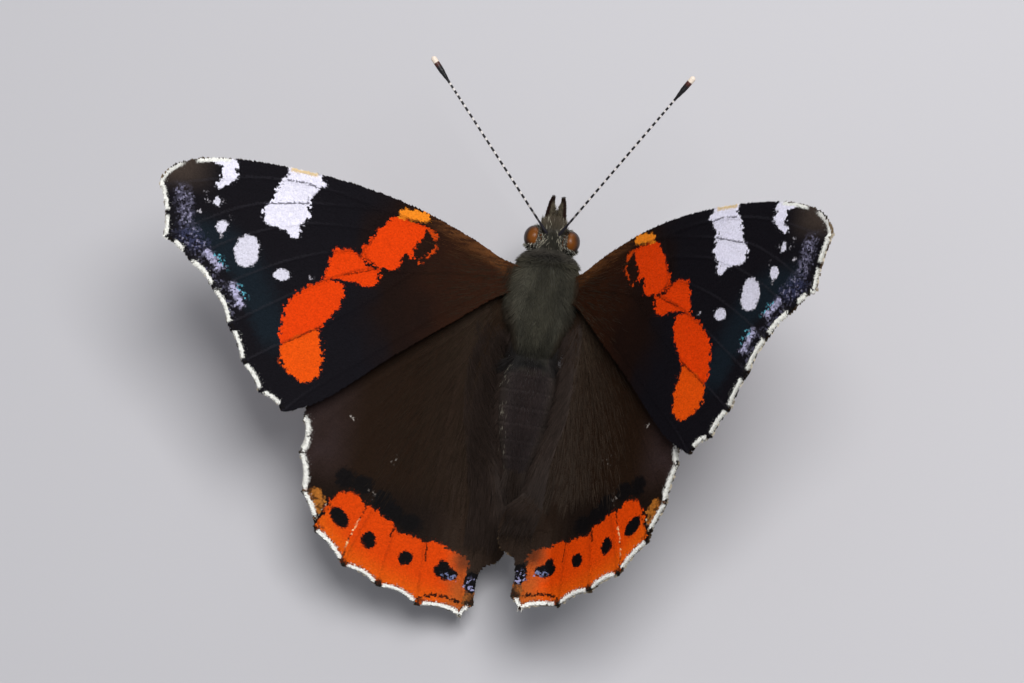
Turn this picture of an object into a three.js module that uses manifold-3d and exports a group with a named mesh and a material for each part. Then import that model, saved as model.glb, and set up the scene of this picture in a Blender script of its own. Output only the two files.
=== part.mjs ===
// Red admiral butterfly, Vanessa atalanta, as a life-size still model that stands with open wings.
// Millimetres, +Z up, +Y towards the head. The origin is on the floor, under the middle of the model.
import * as THREE from 'three';
import { mergeVertices } from 'three/addons/utils/BufferGeometryUtils.js';
import { ConvexHull } from 'three/addons/math/ConvexHull.js';
import Module from 'manifold-3d';

const wasm = await Module();
wasm.setup();

const { Vector2, Vector3, Matrix4 } = THREE;
const rad = THREE.MathUtils.degToRad;

// Stance: the thorax's centre stands this high, nose up and leaning a little to the right
const THORAX_HEIGHT = 8.8;
const NOSE_UP = rad(12);
const LEAN_RIGHT = rad(10);

// Neighbouring pieces keep this gap where they meet
const GAP = 0.3;

// Wings: a membrane with veins raised on both faces
const MEMBRANE = 0.5;
const VEIN_RISE = 0.14;
const VEIN_HALF_WIDTH = 0.3;
const VEIN_STEP = 2.0;
const FRONT_EDGE_RISE = 0.1;
const SCALLOP_STEPS = 4;
const MARGIN_STEP = 1.3;
const CAMBER = 0.7;
const WING_SPAN = 31.3;
const FILL_STEP = 3.0;

// Beside the abdomen the hindwing's inner edge bends down, until it hangs a little past upright.
// FOLD_HINGE and FOLD_FULL are the plan's y where the fold starts and where it is full.
const FOLD_RADIUS = 1.0;
const UPRIGHT_AT = 100;
const FOLD_HINGE = -1.5;
const FOLD_FULL = -4;

// How each wing is held: raised above the body's plane, turned about its length, and swept forward.
// A fold runs along the line of places [x, y] in the plan. From fading to flat it opens again behind
// the abdomen's tip, and behind is what is left of it there: the raised wing bends the other way.
const HOLD = {
  forewing_left: { side: -1, hinge: [2.3, 1.6, 1.2], raise: 10, twist: 0, sweep: 0, fold: null },
  forewing_right: { side: 1, hinge: [2.3, 1.3, 1.2], raise: 52.2, twist: -2.8, sweep: 7.2, fold: null },
  hindwing_left: {
    side: -1,
    hinge: [2.4, -0.6, -0.1],
    raise: 8,
    twist: 0,
    sweep: 0,
    fold: {
      line: [[1.5, 0], [1.6, -4], [1.65, -6], [1.55, -8], [1.25, -10], [0.8, -12], [0.15, -14], [-0.5, -15.5]],
      fading: -14.5,
      flat: -18.5,
      behind: 0,
    },
  },
  hindwing_right: {
    side: 1,
    hinge: [2.4, 0.2, -0.2],
    raise: 48.5,
    twist: -9,
    sweep: 10.6,
    fold: {
      line: [[0.95, 0], [0.95, -4], [1.0, -6], [0.9, -8], [0.55, -10], [-0.2, -12], [-0.9, -14], [-1.0, -15.5],
        [2.5, -20], [3.5, -30]],
      fading: -13.5,
      flat: -19,
      behind: -0.65,
    },
  },
};

// Wing plans, seen from above on the right side, with the hinge at 0, 0 and x along the wing.
// Veins that end on the outer margin end at one of its tips.
const FORE_TIPS = {
  apex: [31.3, 3.0],
  m1: [30.4, -1.3],
  m2: [27.9, -3.0],
  m3: [25.7, -4.9],
  cu1: [24.0, -7.6],
  cu2: [22.4, -10.6],
  fold: [20.5, -12.9],
  anal: [18.3, -14.1],
};
const FOREWING = {
  front: [[-1.2, 0.9], [1.5, 1.5], [4.2, 2.7], [9.3, 4.5], [14.5, 5.6], [20, 6.15], [25.5, 6.15],
    [28.8, 5.55], [30.6, 4.45], FORE_TIPS.apex],
  tips: Object.values(FORE_TIPS),
  bayDepths: [0.28, 0.28, 0.28, 0.28, 0.28, 0.28, 0.28],
  rear: [FORE_TIPS.anal, [14.8, -12.4], [9.8, -8.1], [5.5, -4.7], [1.0, -1.3], [-1.2, -1.0]],
  veins: [
    [[2.2, 1.0], [7, 2.9], [12.2, 4.0], [17.5, 5.0], [24, 4.9], FORE_TIPS.apex],
    [[12.2, 4.0], [18.5, 3.6], [22.3, 3.0], [25.9, 1.5], FORE_TIPS.m1],
    [[12.2, 4.0], [12.9, 2.2], [13.4, 0.4]],
    [[12.9, 2.2], [18.9, 1.8], [24.6, -0.5], FORE_TIPS.m2],
    [[13.4, 0.4], [17, -0.4], [20.8, -2.0], FORE_TIPS.m3],
    [[2.2, 0.1], [6, -0.2], [9, -0.7], [12.4, -0.9], [13.4, 0.4]],
    [[12.4, -0.9], [15, -1.9], [18.5, -3.9], FORE_TIPS.cu1],
    [[9, -0.7], [12.5, -3.7], [16.3, -6.6], [19.1, -8.3], FORE_TIPS.cu2],
    [[2.4, -1.0], [8, -5.2], [13, -9.3], [16.5, -12.2], FORE_TIPS.anal],
  ],
};

const HIND_TIPS = {
  costal: [16.2, -12.4],
  radial: [16.3, -15.0],
  m1: [15.6, -18.3],
  m2: [14.05, -21.5],
  m3: [11.2, -24.2],
  cu1: [7.95, -25.5],
  cu2: [4.25, -26.65],
  anal: [0.2, -27.1],
};
const HINDWING = {
  front: [[-1.2, 0.6], [1.0, 1.5], [3.5, 2.1], [7, 1.3], [10.5, -0.9], [13.6, -4.6], [15.4, -8.4],
    HIND_TIPS.costal],
  tips: Object.values(HIND_TIPS),
  bayDepths: [0.28, 0.28, 0.3, 0.32, 0.4, 0.44, 0.42],
  rear: [HIND_TIPS.anal, [-0.6, -26.0], [-0.45, -24.2], [-0.6, -23.2], [-1.1, -22.4], [-2.2, -21.9],
    [-2.6, -20.8], [-2.6, -18.5], [-2.3, -15.5], [-2.0, -12], [-1.8, -6], [-1.4, -2], [-1.2, -1.0]],
  veins: [
    [[2.0, 0.6], [8, -1.7], [13, -6.6], HIND_TIPS.costal],
    [[2.2, -0.6], [5, -3.5], [10.5, -8], [14.3, -12], HIND_TIPS.radial],
    [[5, -3.5], [8, -7.4], [12.2, -13], HIND_TIPS.m1],
    [[8, -7.4], [11, -14.2], HIND_TIPS.m2],
    [[5.4, -9.4], [8.8, -17.6], HIND_TIPS.m3],
    [[2.0, -1.6], [3.6, -5.6], [5.4, -9.4], [6.7, -17.5], HIND_TIPS.cu1],
    [[3.6, -5.6], [4.1, -12.5], [4.4, -20], HIND_TIPS.cu2],
    [[1.6, -2.2], [2.2, -8], [1.7, -17], HIND_TIPS.anal],
  ],
};

// Body stations along Y, in the body's own frame: half width, height above and below the mid line
const THORAX = [
  { y: 4.1, z: -0.3, half: 1.95, up: 1.4, down: 1.3 },
  { y: 3.7, z: -0.2, half: 2.45, up: 1.95, down: 1.8 },
  { y: 3.0, z: -0.1, half: 2.85, up: 2.4, down: 2.3 },
  { y: 1.6, z: 0, half: 3.15, up: 2.75, down: 2.7 },
  { y: 0, z: 0, half: 3.1, up: 2.85, down: 2.8 },
  { y: -1.6, z: 0, half: 2.85, up: 2.7, down: 2.7 },
  { y: -3.0, z: -0.1, half: 2.4, up: 2.35, down: 2.3 },
  { y: -4.0, z: -0.2, half: 2.0, up: 1.9, down: 1.8 },
  { y: -4.4, z: -0.25, half: 1.7, up: 1.55, down: 1.5 },
];
const HEAD = [
  { y: 4.4, z: -0.35, half: 1.2, up: 1.15, down: 1.05 },
  { y: 5.0, z: -0.35, half: 1.25, up: 1.35, down: 1.3 },
  { y: 5.7, z: -0.35, half: 1.2, up: 1.4, down: 1.4 },
  { y: 6.5, z: -0.4, half: 1.25, up: 1.25, down: 1.25 },
  { y: 7.0, z: -0.45, half: 0.95, up: 0.85, down: 0.9 },
  { y: 7.25, z: -0.5, half: 0.5, up: 0.4, down: 0.45 },
];
const ABDOMEN_SEGMENTS = 8;
const ABDOMEN_FRONT = -4.7;
const ABDOMEN_REAR = -16.1;
const ABDOMEN_HALF = [1.8, 2.4, 2.5, 2.4, 2.2, 1.9, 1.5, 1.0, 0.4];
const ABDOMEN_DROOP = 0.9;
const SEGMENT_STEP = 0.12;
const BODY_SIDES = 20;
const ABDOMEN_SIDES = 16;

const EYE = { centre: [1.58, 5.47, -0.3], radii: [0.88, 1.05, 1.15] };
const PALP = { path: [[0.5, 6.2, -1.5], [0.52, 7.6, -0.9], [0.5, 8.6, -0.2], [0.42, 9.3, 0.5]], base: 0.5, tip: 0.2 };
const ANTENNA = { base: [0.5, 5.9, 0.75], length: 18.2, shaft: 0.25, club: 0.36, clubLength: 3.0, bow: 0.5 };
const ANTENNA_AIM = { left: { out: 42.1, rise: 9 }, right: { out: 31.7, rise: 15 } };

// Legs, in the floor's frame: each path runs from inside the thorax to the foot's end
const FOOT_LEVEL = 0.2;
const FEMUR_RADIUS = 0.5;
const TIBIA_RADIUS = 0.36;
const FOOT_RADIUS = 0.31;
const WALKING_LEGS = {
  midleg_left: [[-1.0, 1.2, 6.4], [-3.4, 2.5, 5.6], [-6.4, 4.2, 6.6], [-7.9, 4.2, 2.6], [-8.8, 4.5, 0.3],
    [-10.4, 5.1, FOOT_LEVEL], [-12.0, 5.6, FOOT_LEVEL]],
  midleg_right: [[1.2, 1.2, 6.0], [3.4, 2.6, 5.2], [6.2, 4.4, 6.2], [7.6, 4.5, 2.4], [8.4, 4.8, 0.3],
    [9.9, 5.5, FOOT_LEVEL], [11.4, 6.1, FOOT_LEVEL]],
  hindleg_left: [[-1.0, -0.9, 6.2], [-3.6, -1.5, 4.9], [-6.5, -4.3, 5.7], [-7.6, -7.4, 2.2], [-8.2, -8.9, 0.3],
    [-8.9, -10.7, FOOT_LEVEL], [-9.5, -12.3, FOOT_LEVEL]],
  hindleg_right: [[1.2, -0.9, 5.8], [3.7, -1.5, 4.5], [6.3, -4.2, 5.3], [7.4, -7.1, 2.0], [8.0, -8.5, 0.3],
    [8.8, -10.2, FOOT_LEVEL], [9.6, -11.8, FOOT_LEVEL]],
};
// The two brush-like forelegs are folded against the front of the thorax, in the body's frame
const FORELEG = [[0.9, 3.0, -2.0], [1.5, 4.0, -3.2], [1.1, 5.3, -2.6], [0.8, 6.0, -2.75]];
const FORELEG_RADIUS = 0.32;

const COLOURS = {
  wing: 0x1a1414,
  hindwing: 0x2b1c14,
  hair: 0x3a372e,
  eye: 0x6a3a1c,
  leg: 0x6b5a44,
  antenna: 0x16130f,
};

// Closed meshes and solids

function signedVolume(points, triangles) {
  let sum = 0;
  for (const [a, b, c] of triangles) {
    sum += points[a].dot(new Vector3().crossVectors(points[b], points[c]));
  }
  return sum / 6;
}

function closedGeometry(points, triangles) {
  const inward = signedVolume(points, triangles) < 0;
  const faces = triangles.map(([a, b, c]) => (inward ? [a, c, b] : [a, b, c]));
  const geometry = new THREE.BufferGeometry();
  const xyz = points.flatMap((p) => [p.x, p.y, p.z]);
  geometry.setAttribute('position', new THREE.Float32BufferAttribute(xyz, 3));
  geometry.setIndex(faces.flat());
  return geometry;
}

function toSolid(geometry) {
  const bare = new THREE.BufferGeometry();
  bare.setAttribute('position', geometry.attributes.position.clone());
  bare.setIndex(geometry.index);
  const merged = mergeVertices(bare, 1e-5);
  const vertProperties = new Float32Array(merged.attributes.position.array);
  const triVerts = new Uint32Array(merged.index.array);
  return new wasm.Manifold(new wasm.Mesh({ numProp: 3, vertProperties, triVerts }));
}

function toGeometry(solid) {
  const mesh = solid.getMesh();
  const geometry = new THREE.BufferGeometry();
  geometry.setAttribute('position', new THREE.BufferAttribute(new Float32Array(mesh.vertProperties), 3));
  geometry.setIndex(Array.from(mesh.triVerts));
  return geometry;
}

// What is left of a piece after its neighbours are cut away, without loose scraps
function cutBy(geometry, cutters) {
  let solid = toSolid(geometry);
  for (const cutter of cutters) {
    solid = solid.subtract(toSolid(cutter));
  }
  const bodies = solid.decompose();
  bodies.sort((a, b) => b.volume() - a.volume());
  return toGeometry(bodies[0]);
}

// A body through rings of points, closed by a fan at each end
function skinRings(rings) {
  const sides = rings[0].length;
  const points = rings.flat();
  const triangles = [];
  for (let r = 0; r + 1 < rings.length; r += 1) {
    for (let k = 0; k < sides; k += 1) {
      const a = r * sides + k;
      const b = r * sides + ((k + 1) % sides);
      triangles.push([a, b, b + sides], [a, b + sides, a + sides]);
    }
  }
  [0, rings.length - 1].forEach((r) => {
    const middle = points.length;
    const centre = rings[r].reduce((sum, p) => sum.add(p), new Vector3()).divideScalar(sides);
    points.push(centre);
    for (let k = 0; k < sides; k += 1) {
      const a = r * sides + k;
      const b = r * sides + ((k + 1) % sides);
      triangles.push(r === 0 ? [middle, b, a] : [middle, a, b]);
    }
  });
  return closedGeometry(points, triangles);
}

// Rings across Y from a list of stations; grow makes the body larger all round
function stationBody(stations, sides, grow = 0) {
  const last = stations.length - 1;
  const rings = stations.map((s, i) => {
    const push = i === 0 ? Math.sign(s.y - stations[last].y) : Math.sign(s.y - stations[0].y);
    const y = s.y + (i === 0 || i === last ? push * grow : 0);
    return Array.from({ length: sides }, (_, k) => {
      const angle = (2 * Math.PI * (k + 0.5)) / sides;
      const height = Math.sin(angle) > 0 ? s.up : s.down;
      return new Vector3((s.half + grow) * Math.cos(angle), y, s.z + (height + grow) * Math.sin(angle));
    });
  });
  return skinRings(rings);
}

// A round rod along a smooth path, with its radius given along the way from 0 to 1
function rod(path, radiusAt, sides, steps, lowest = -Infinity) {
  const curve = new THREE.CatmullRomCurve3(path.map((p) => new Vector3(...p)), false, 'centripetal');
  const frames = curve.computeFrenetFrames(steps, false);
  const rings = Array.from({ length: steps + 1 }, (_, i) => {
    const t = i / steps;
    const centre = curve.getPointAt(t);
    return Array.from({ length: sides }, (_, k) => {
      const angle = (2 * Math.PI * k) / sides;
      const spoke = frames.normals[i].clone().multiplyScalar(Math.cos(angle));
      spoke.addScaledVector(frames.binormals[i], Math.sin(angle));
      const point = centre.clone().addScaledVector(spoke, radiusAt(t));
      point.z = Math.max(point.z, lowest);
      return point;
    });
  });
  return skinRings(rings);
}

// The same form on the other side of the mid plane
function mirrored(geometry) {
  const other = geometry.clone();
  other.scale(-1, 1, 1);
  const index = Array.from(other.index.array);
  for (let i = 0; i < index.length; i += 3) {
    [index[i + 1], index[i + 2]] = [index[i + 2], index[i + 1]];
  }
  other.setIndex(index);
  return other;
}

// Wing plans

const plan = (list) => new THREE.SplineCurve(list.map((p) => new Vector2(...p)));

function spaced(curve, step) {
  return curve.getSpacedPoints(Math.max(2, Math.round(curve.getLength() / step)));
}

// The outer margin: shallow bays between the tips where the veins end
function scallops({ tips, bayDepths }) {
  const points = [];
  for (let i = 0; i + 1 < tips.length; i += 1) {
    const a = new Vector2(...tips[i]);
    const b = new Vector2(...tips[i + 1]);
    const along = b.clone().sub(a);
    const inward = new Vector2(along.y, -along.x).normalize();
    for (let k = 0; k < SCALLOP_STEPS; k += 1) {
      const t = k / SCALLOP_STEPS;
      const depth = bayDepths[i] * 4 * t * (1 - t);
      points.push(a.clone().addScaledVector(along, t).addScaledVector(inward, depth));
    }
  }
  return points;
}

function outline(wing) {
  const front = spaced(plan(wing.front), MARGIN_STEP);
  const rear = spaced(plan(wing.rear), MARGIN_STEP);
  const base = [];
  const from = rear[rear.length - 1];
  for (let k = 1; k < 3; k += 1) {
    base.push(from.clone().lerp(front[0], k / 3));
  }
  return [...front.slice(0, -1), ...scallops(wing), ...rear, ...base];
}

function inside(p, polygon) {
  let odd = false;
  polygon.forEach((a, i) => {
    const b = polygon[(i + 1) % polygon.length];
    const crosses = a.y > p.y !== b.y > p.y;
    if (crosses && p.x < a.x + ((p.y - a.y) * (b.x - a.x)) / (b.y - a.y)) {
      odd = !odd;
    }
  });
  return odd;
}

function distanceToEdge(p, polygon) {
  const nearest = new Vector3();
  const point = new Vector3(p.x, p.y, 0);
  return Math.min(...polygon.map((a, i) => {
    const b = polygon[(i + 1) % polygon.length];
    const edge = new THREE.Line3(new Vector3(a.x, a.y, 0), new Vector3(b.x, b.y, 0));
    return edge.closestPointToPoint(point, true, nearest).distanceTo(point);
  }));
}

// Flat triangles between points: the lower side of the hull of the points lifted onto a bowl
function delaunay(points) {
  const place = new Map();
  const lifted = points.map((p, i) => {
    const v = new Vector3(p.x, p.y, p.x * p.x + p.y * p.y);
    place.set(v, i);
    return v;
  });
  const hull = new ConvexHull().setFromPoints(lifted);
  const lower = hull.faces.filter((face) => face.normal.z < 0);
  return lower.map((face) => [face.edge, face.edge.next, face.edge.prev].map((e) => place.get(e.head().point)));
}

// Points of a wing plan with their rise above the membrane: margin first, then veins, then filling
function wingPoints(wing, fold) {
  const edge = outline(wing);
  const frontCount = spaced(plan(wing.front), MARGIN_STEP).length - 1;
  const points = edge.map((p, i) => ({ p, rise: i < frontCount ? FRONT_EDGE_RISE : 0 }));
  const clear = (p, distance) => points.every((q) => q.p.distanceTo(p) > distance);
  const add = (p, rise, distance, margin) => {
    if (inside(p, edge) && clear(p, distance) && distanceToEdge(p, edge) > margin) {
      points.push({ p, rise });
    }
  };
  const crests = wing.veins.map((vein) => spaced(plan(vein), VEIN_STEP));
  crests.forEach((crest) => crest.forEach((p) => add(p, VEIN_RISE, 0.5, 0.45)));
  crests.forEach((crest) => {
    crest.forEach((p, i) => {
      const before = crest[Math.max(i - 1, 0)];
      const after = crest[Math.min(i + 1, crest.length - 1)];
      const along = after.clone().sub(before).normalize();
      [-1, 1].forEach((side) => {
        const foot = new Vector2(-along.y, along.x).multiplyScalar(side * VEIN_HALF_WIDTH).add(p);
        add(foot, 0, VEIN_HALF_WIDTH * 0.9, 0.45);
      });
    });
  });
  const low = new THREE.Box2().setFromPoints(edge);
  const fill = (step, accept) => {
    for (let x = low.min.x; x < low.max.x; x += step) {
      for (let y = low.min.y; y < low.max.y; y += step) {
        const p = new Vector2(x + (Math.round(y / step) % 2 ? step / 2 : 0), y);
        if (accept(p)) {
          add(p, 0, step * 0.5, 0.6);
        }
      }
    }
  };
  if (fold) {
    fill(FILL_STEP * 0.42, (p) => p.x < foldStart(p.y, fold) + 0.5);
  }
  fill(FILL_STEP, () => true);
  return { edge, points };
}

// Where the fold starts, as a place along the wing
function foldStart(y, fold) {
  const { line } = fold;
  const next = line.findIndex(([, at]) => at <= y);
  if (next <= 0) {
    return next === 0 ? line[0][0] : line[line.length - 1][0];
  }
  const [x0, y0] = line[next - 1];
  const [x1, y1] = line[next];
  return THREE.MathUtils.mapLinear(y, y0, y1, x0, x1);
}

// The membrane's middle surface: a low camber, and on the hindwing the fold beside the abdomen
function membraneAt(x, y, hold) {
  const { fold, raise } = hold;
  const camber = CAMBER * Math.sin(Math.PI * THREE.MathUtils.clamp(x / WING_SPAN, 0, 1));
  const way = fold ? foldStart(y, fold) - x : 0;
  if (way <= 0) {
    return new Vector3(x, y, camber);
  }
  const full = rad(UPRIGHT_AT - raise);
  const opened = THREE.MathUtils.smoothstep(-y, -fold.fading, -fold.flat);
  const turn = full * (THREE.MathUtils.smoothstep(-y, -FOLD_HINGE, -FOLD_FULL) + (fold.behind - 1) * opened);
  if (Math.abs(turn) < 1e-3) {
    return new Vector3(x, y, camber);
  }
  const arc = Math.min(way, FOLD_RADIUS * full);
  const angle = (turn * arc) / (FOLD_RADIUS * full);
  const curl = (FOLD_RADIUS * full) / turn;
  const straight = way - arc;
  const inward = curl * Math.sin(angle) + straight * Math.cos(angle);
  const down = curl * (1 - Math.cos(angle)) + straight * Math.sin(angle);
  return new Vector3(x + way - inward, y, camber - down);
}

function membraneNormal(x, y, hold) {
  const step = 0.02;
  const dx = membraneAt(x + step, y, hold).sub(membraneAt(x - step, y, hold));
  const dy = membraneAt(x, y + step, hold).sub(membraneAt(x, y - step, hold));
  return dx.cross(dy).normalize();
}

// Both faces carry the same triangles, and the margin closes them
function wingPlate(wing, hold) {
  const { edge, points } = wingPoints(wing, hold.fold);
  const flat = points.map((q) => q.p);
  const faces = delaunay(flat).filter((f) => {
    const middle = new Vector2();
    f.forEach((i) => middle.add(flat[i]));
    return inside(middle.divideScalar(3), edge);
  });
  const skins = [1, -1].map((face) => points.map(({ p, rise }) => {
    const normal = membraneNormal(p.x, p.y, hold);
    return membraneAt(p.x, p.y, hold).addScaledVector(normal, face * (MEMBRANE / 2 + rise));
  }));
  const count = points.length;
  const turned = faces.map(([a, b, c]) => {
    const cross = flat[b].clone().sub(flat[a]).cross(flat[c].clone().sub(flat[a]));
    return cross > 0 ? [a, b, c] : [a, c, b];
  });
  const triangles = turned.flatMap(([a, b, c]) => [[a, b, c], [a + count, c + count, b + count]]);
  const inner = new Set(turned.flatMap(([a, b, c]) => [`${a},${b}`, `${b},${c}`, `${c},${a}`]));
  inner.forEach((key) => {
    const [a, b] = key.split(',').map(Number);
    if (!inner.has(`${b},${a}`)) {
      triangles.push([b, a, a + count], [b, a + count, b + count]);
    }
  });
  return closedGeometry([...skins[0], ...skins[1]], triangles);
}

// Pieces of the body

function abdomenStations() {
  const stations = [];
  const segment = (ABDOMEN_REAR - ABDOMEN_FRONT) / ABDOMEN_SEGMENTS;
  for (let i = 0; i < ABDOMEN_SEGMENTS; i += 1) {
    [0.06, 0.5, 0.94].forEach((t, k) => {
      const y = ABDOMEN_FRONT + segment * (i + (i === 0 && k === 0 ? 0 : t));
      const half = THREE.MathUtils.lerp(ABDOMEN_HALF[i], ABDOMEN_HALF[i + 1], t);
      const round = Math.max(0.2, half - (k === 0 && i > 0 ? SEGMENT_STEP : 0));
      const drop = ABDOMEN_DROOP * ((i + t) / ABDOMEN_SEGMENTS) ** 1.5;
      stations.push({ y, z: -0.25 - drop, half: round, up: round * 0.9, down: round * 0.92 });
    });
  }
  return stations;
}

function ellipsoid({ centre, radii }) {
  const ball = mergeVertices(stripped(new THREE.SphereGeometry(1, 14, 10)));
  ball.scale(...radii);
  ball.translate(...centre);
  return ball;
}

function stripped(geometry) {
  geometry.deleteAttribute('normal');
  geometry.deleteAttribute('uv');
  return geometry;
}

function palp() {
  const radiusAt = (t) => THREE.MathUtils.lerp(PALP.base, PALP.tip, t ** 2);
  return rod(PALP.path, radiusAt, 8, 8);
}

function antenna(aim) {
  const out = rad(aim.out);
  const rise = rad(aim.rise);
  const way = new Vector3(Math.sin(out) * Math.cos(rise), Math.cos(out) * Math.cos(rise), Math.sin(rise));
  const base = new Vector3(...ANTENNA.base);
  const path = [0, 0.5, 1].map((t) => {
    const p = base.clone().addScaledVector(way, ANTENNA.length * t);
    p.z += ANTENNA.bow * 4 * t * (1 - t);
    return p.toArray();
  });
  const clubStart = 1 - ANTENNA.clubLength / ANTENNA.length;
  const radiusAt = (t) => {
    const swell = THREE.MathUtils.smoothstep(t, clubStart, clubStart + 0.09);
    const close = t > 0.98 ? 0.55 : 1;
    return THREE.MathUtils.lerp(ANTENNA.shaft, ANTENNA.club, swell) * close;
  };
  return rod(path, radiusAt, 8, 28);
}

function walkingLeg(path) {
  const radiusAt = (t) => {
    const thigh = THREE.MathUtils.lerp(FEMUR_RADIUS, TIBIA_RADIUS, THREE.MathUtils.smoothstep(t, 0.2, 0.5));
    return THREE.MathUtils.lerp(thigh, FOOT_RADIUS, THREE.MathUtils.smoothstep(t, 0.55, 0.75));
  };
  return rod(path, radiusAt, 8, 26, 0);
}

// Assembly

function material(color, roughness = 0.8) {
  return new THREE.MeshStandardMaterial({ color, roughness, metalness: 0 });
}

function named(name, geometry, color, roughness) {
  const mesh = new THREE.Mesh(geometry, material(color, roughness));
  mesh.name = name;
  return mesh;
}

const butterfly = new THREE.Group();
const body = new THREE.Group();
body.rotation.set(NOSE_UP, LEAN_RIGHT, 0, 'YXZ');
body.position.set(0, 0, THORAX_HEIGHT);
body.updateMatrix();
butterfly.add(body);

const abdomen = abdomenStations();
const thoraxGrown = stationBody(THORAX, BODY_SIDES, GAP);
const headGrown = stationBody(HEAD, BODY_SIDES, GAP);
const abdomenGrown = stationBody(abdomen, ABDOMEN_SIDES, GAP);

body.add(named('thorax', stationBody(THORAX, BODY_SIDES), COLOURS.hair));
body.add(named('head', stationBody(HEAD, BODY_SIDES), COLOURS.hair));
body.add(named('abdomen', stationBody(abdomen, ABDOMEN_SIDES), COLOURS.hair));

const eye = cutBy(ellipsoid(EYE), [headGrown]);
const palpRight = cutBy(palp(), [headGrown]);
const foreleg = cutBy(rod(FORELEG, () => FORELEG_RADIUS, 8, 12), [thoraxGrown, headGrown]);
body.add(named('eye_right', eye, COLOURS.eye, 0.25));
body.add(named('eye_left', mirrored(eye), COLOURS.eye, 0.25));
body.add(named('palp_right', palpRight, COLOURS.hair));
body.add(named('palp_left', mirrored(palpRight), COLOURS.hair));
body.add(named('foreleg_right', foreleg, COLOURS.leg));
body.add(named('foreleg_left', mirrored(foreleg), COLOURS.leg));

const antennaRight = cutBy(antenna(ANTENNA_AIM.right), [headGrown]);
const antennaLeft = cutBy(antenna(ANTENNA_AIM.left), [headGrown]);
body.add(named('antenna_right', antennaRight, COLOURS.antenna));
body.add(named('antenna_left', mirrored(antennaLeft), COLOURS.antenna));

Object.entries(HOLD).forEach(([name, hold]) => {
  const isHind = name.startsWith('hind');
  const plate = wingPlate(isHind ? HINDWING : FOREWING, hold);
  const seated = new THREE.Object3D();
  seated.rotation.set(rad(hold.twist), -rad(hold.raise), rad(hold.sweep), 'YXZ');
  seated.position.set(...hold.hinge);
  seated.updateMatrix();
  const back = new Matrix4().copy(seated.matrix).invert();
  const cutters = [thoraxGrown, abdomenGrown].map((g) => g.clone().applyMatrix4(back));
  const trimmed = cutBy(plate, cutters);
  const geometry = hold.side < 0 ? mirrored(trimmed) : trimmed;
  const mesh = named(name, geometry, isHind ? COLOURS.hindwing : COLOURS.wing);
  mesh.rotation.set(rad(hold.twist), -hold.side * rad(hold.raise), hold.side * rad(hold.sweep), 'YXZ');
  mesh.position.set(hold.side * hold.hinge[0], hold.hinge[1], hold.hinge[2]);
  body.add(mesh);
});

const thoraxOnFloor = thoraxGrown.clone().applyMatrix4(body.matrix);
const abdomenOnFloor = abdomenGrown.clone().applyMatrix4(body.matrix);
Object.entries(WALKING_LEGS).forEach(([name, path]) => {
  const leg = cutBy(walkingLeg(path), [thoraxOnFloor, abdomenOnFloor]);
  butterfly.add(named(name, leg, COLOURS.leg));
});

// The origin goes to the floor under the middle of the whole model
butterfly.updateMatrixWorld(true);
const box = new THREE.Box3().setFromObject(butterfly, true);
const middle = box.getCenter(new Vector3());
butterfly.position.set(-middle.x, -middle.y, -box.min.z);
butterfly.updateMatrixWorld(true);

export default butterfly;
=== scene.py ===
# %% [markdown]
# # A red admiral butterfly
#
# The scene dresses a packed, life-size model of a red admiral that stands with open wings. The solids give
# the true outline, and the pieces made here keep to it, apart from hairs that stand a little proud. They are
# fine wing skins under a coat of scales, a body skin under fur, eyes with a fine net, ringed antennae and
# bristled legs.

import math

import bpy
import numpy as np
from mathutils import Matrix, Vector
from mathutils.geometry import delaunay_2d_cdt


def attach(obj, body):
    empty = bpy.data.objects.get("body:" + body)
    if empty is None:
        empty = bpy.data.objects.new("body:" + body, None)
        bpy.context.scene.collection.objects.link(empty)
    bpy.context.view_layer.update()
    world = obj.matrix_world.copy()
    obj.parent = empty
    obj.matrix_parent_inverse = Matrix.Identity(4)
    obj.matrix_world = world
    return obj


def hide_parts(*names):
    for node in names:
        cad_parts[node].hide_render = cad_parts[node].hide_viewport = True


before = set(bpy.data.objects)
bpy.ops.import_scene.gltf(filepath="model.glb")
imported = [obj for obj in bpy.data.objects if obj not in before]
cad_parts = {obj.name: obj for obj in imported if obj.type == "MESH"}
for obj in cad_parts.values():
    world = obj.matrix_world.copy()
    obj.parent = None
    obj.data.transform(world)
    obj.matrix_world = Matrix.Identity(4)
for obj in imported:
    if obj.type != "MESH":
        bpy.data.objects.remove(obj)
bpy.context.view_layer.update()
MM = 0.001
print("frame nodes:", len(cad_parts))

# %% [markdown]
# ## Where the body is
#
# All shapes are easiest to describe in the insect's own frame: +x to its right, +y to its head, +z to its
# back, in millimetres. One turn and one shift then place them in the room. The turn is the stance, nose up
# and leaning a little, and the shift is measured from the thorax node, so the pieces sit where the solids do.

# %% Stance
NOSE_UP = math.radians(12)
LEAN_RIGHT = math.radians(10)
THORAX_HEIGHT = 8.8
THORAX_Y = (-4.4, 4.1)
THORAX_Z = (-2.8, 2.85)
# the rings of the solid have 20 sides, so its top lies a little below the round that it stands for
THORAX_RING_TOP = math.cos(math.pi / 20)

stance = np.array(Matrix.Rotation(LEAN_RIGHT, 3, "Y") @ Matrix.Rotation(NOSE_UP, 3, "X"))


def node_points(name):
    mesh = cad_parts[name].data
    xyz = np.empty(len(mesh.vertices) * 3)
    mesh.vertices.foreach_get("co", xyz)
    return xyz.reshape(-1, 3) / MM


in_body = node_points("thorax") @ stance
measured = (in_body.min(axis=0) + in_body.max(axis=0)) / 2
expected = np.array([0, sum(THORAX_Y) / 2, sum(THORAX_Z) / 2 * THORAX_RING_TOP])
body_place = stance @ (measured - expected)
floor_place = body_place - np.array([0, 0, THORAX_HEIGHT])


def to_room(points):
    """Body-frame points in millimetres become room points in metres."""
    return (np.asarray(points, float) @ stance.T + body_place) * MM


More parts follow.
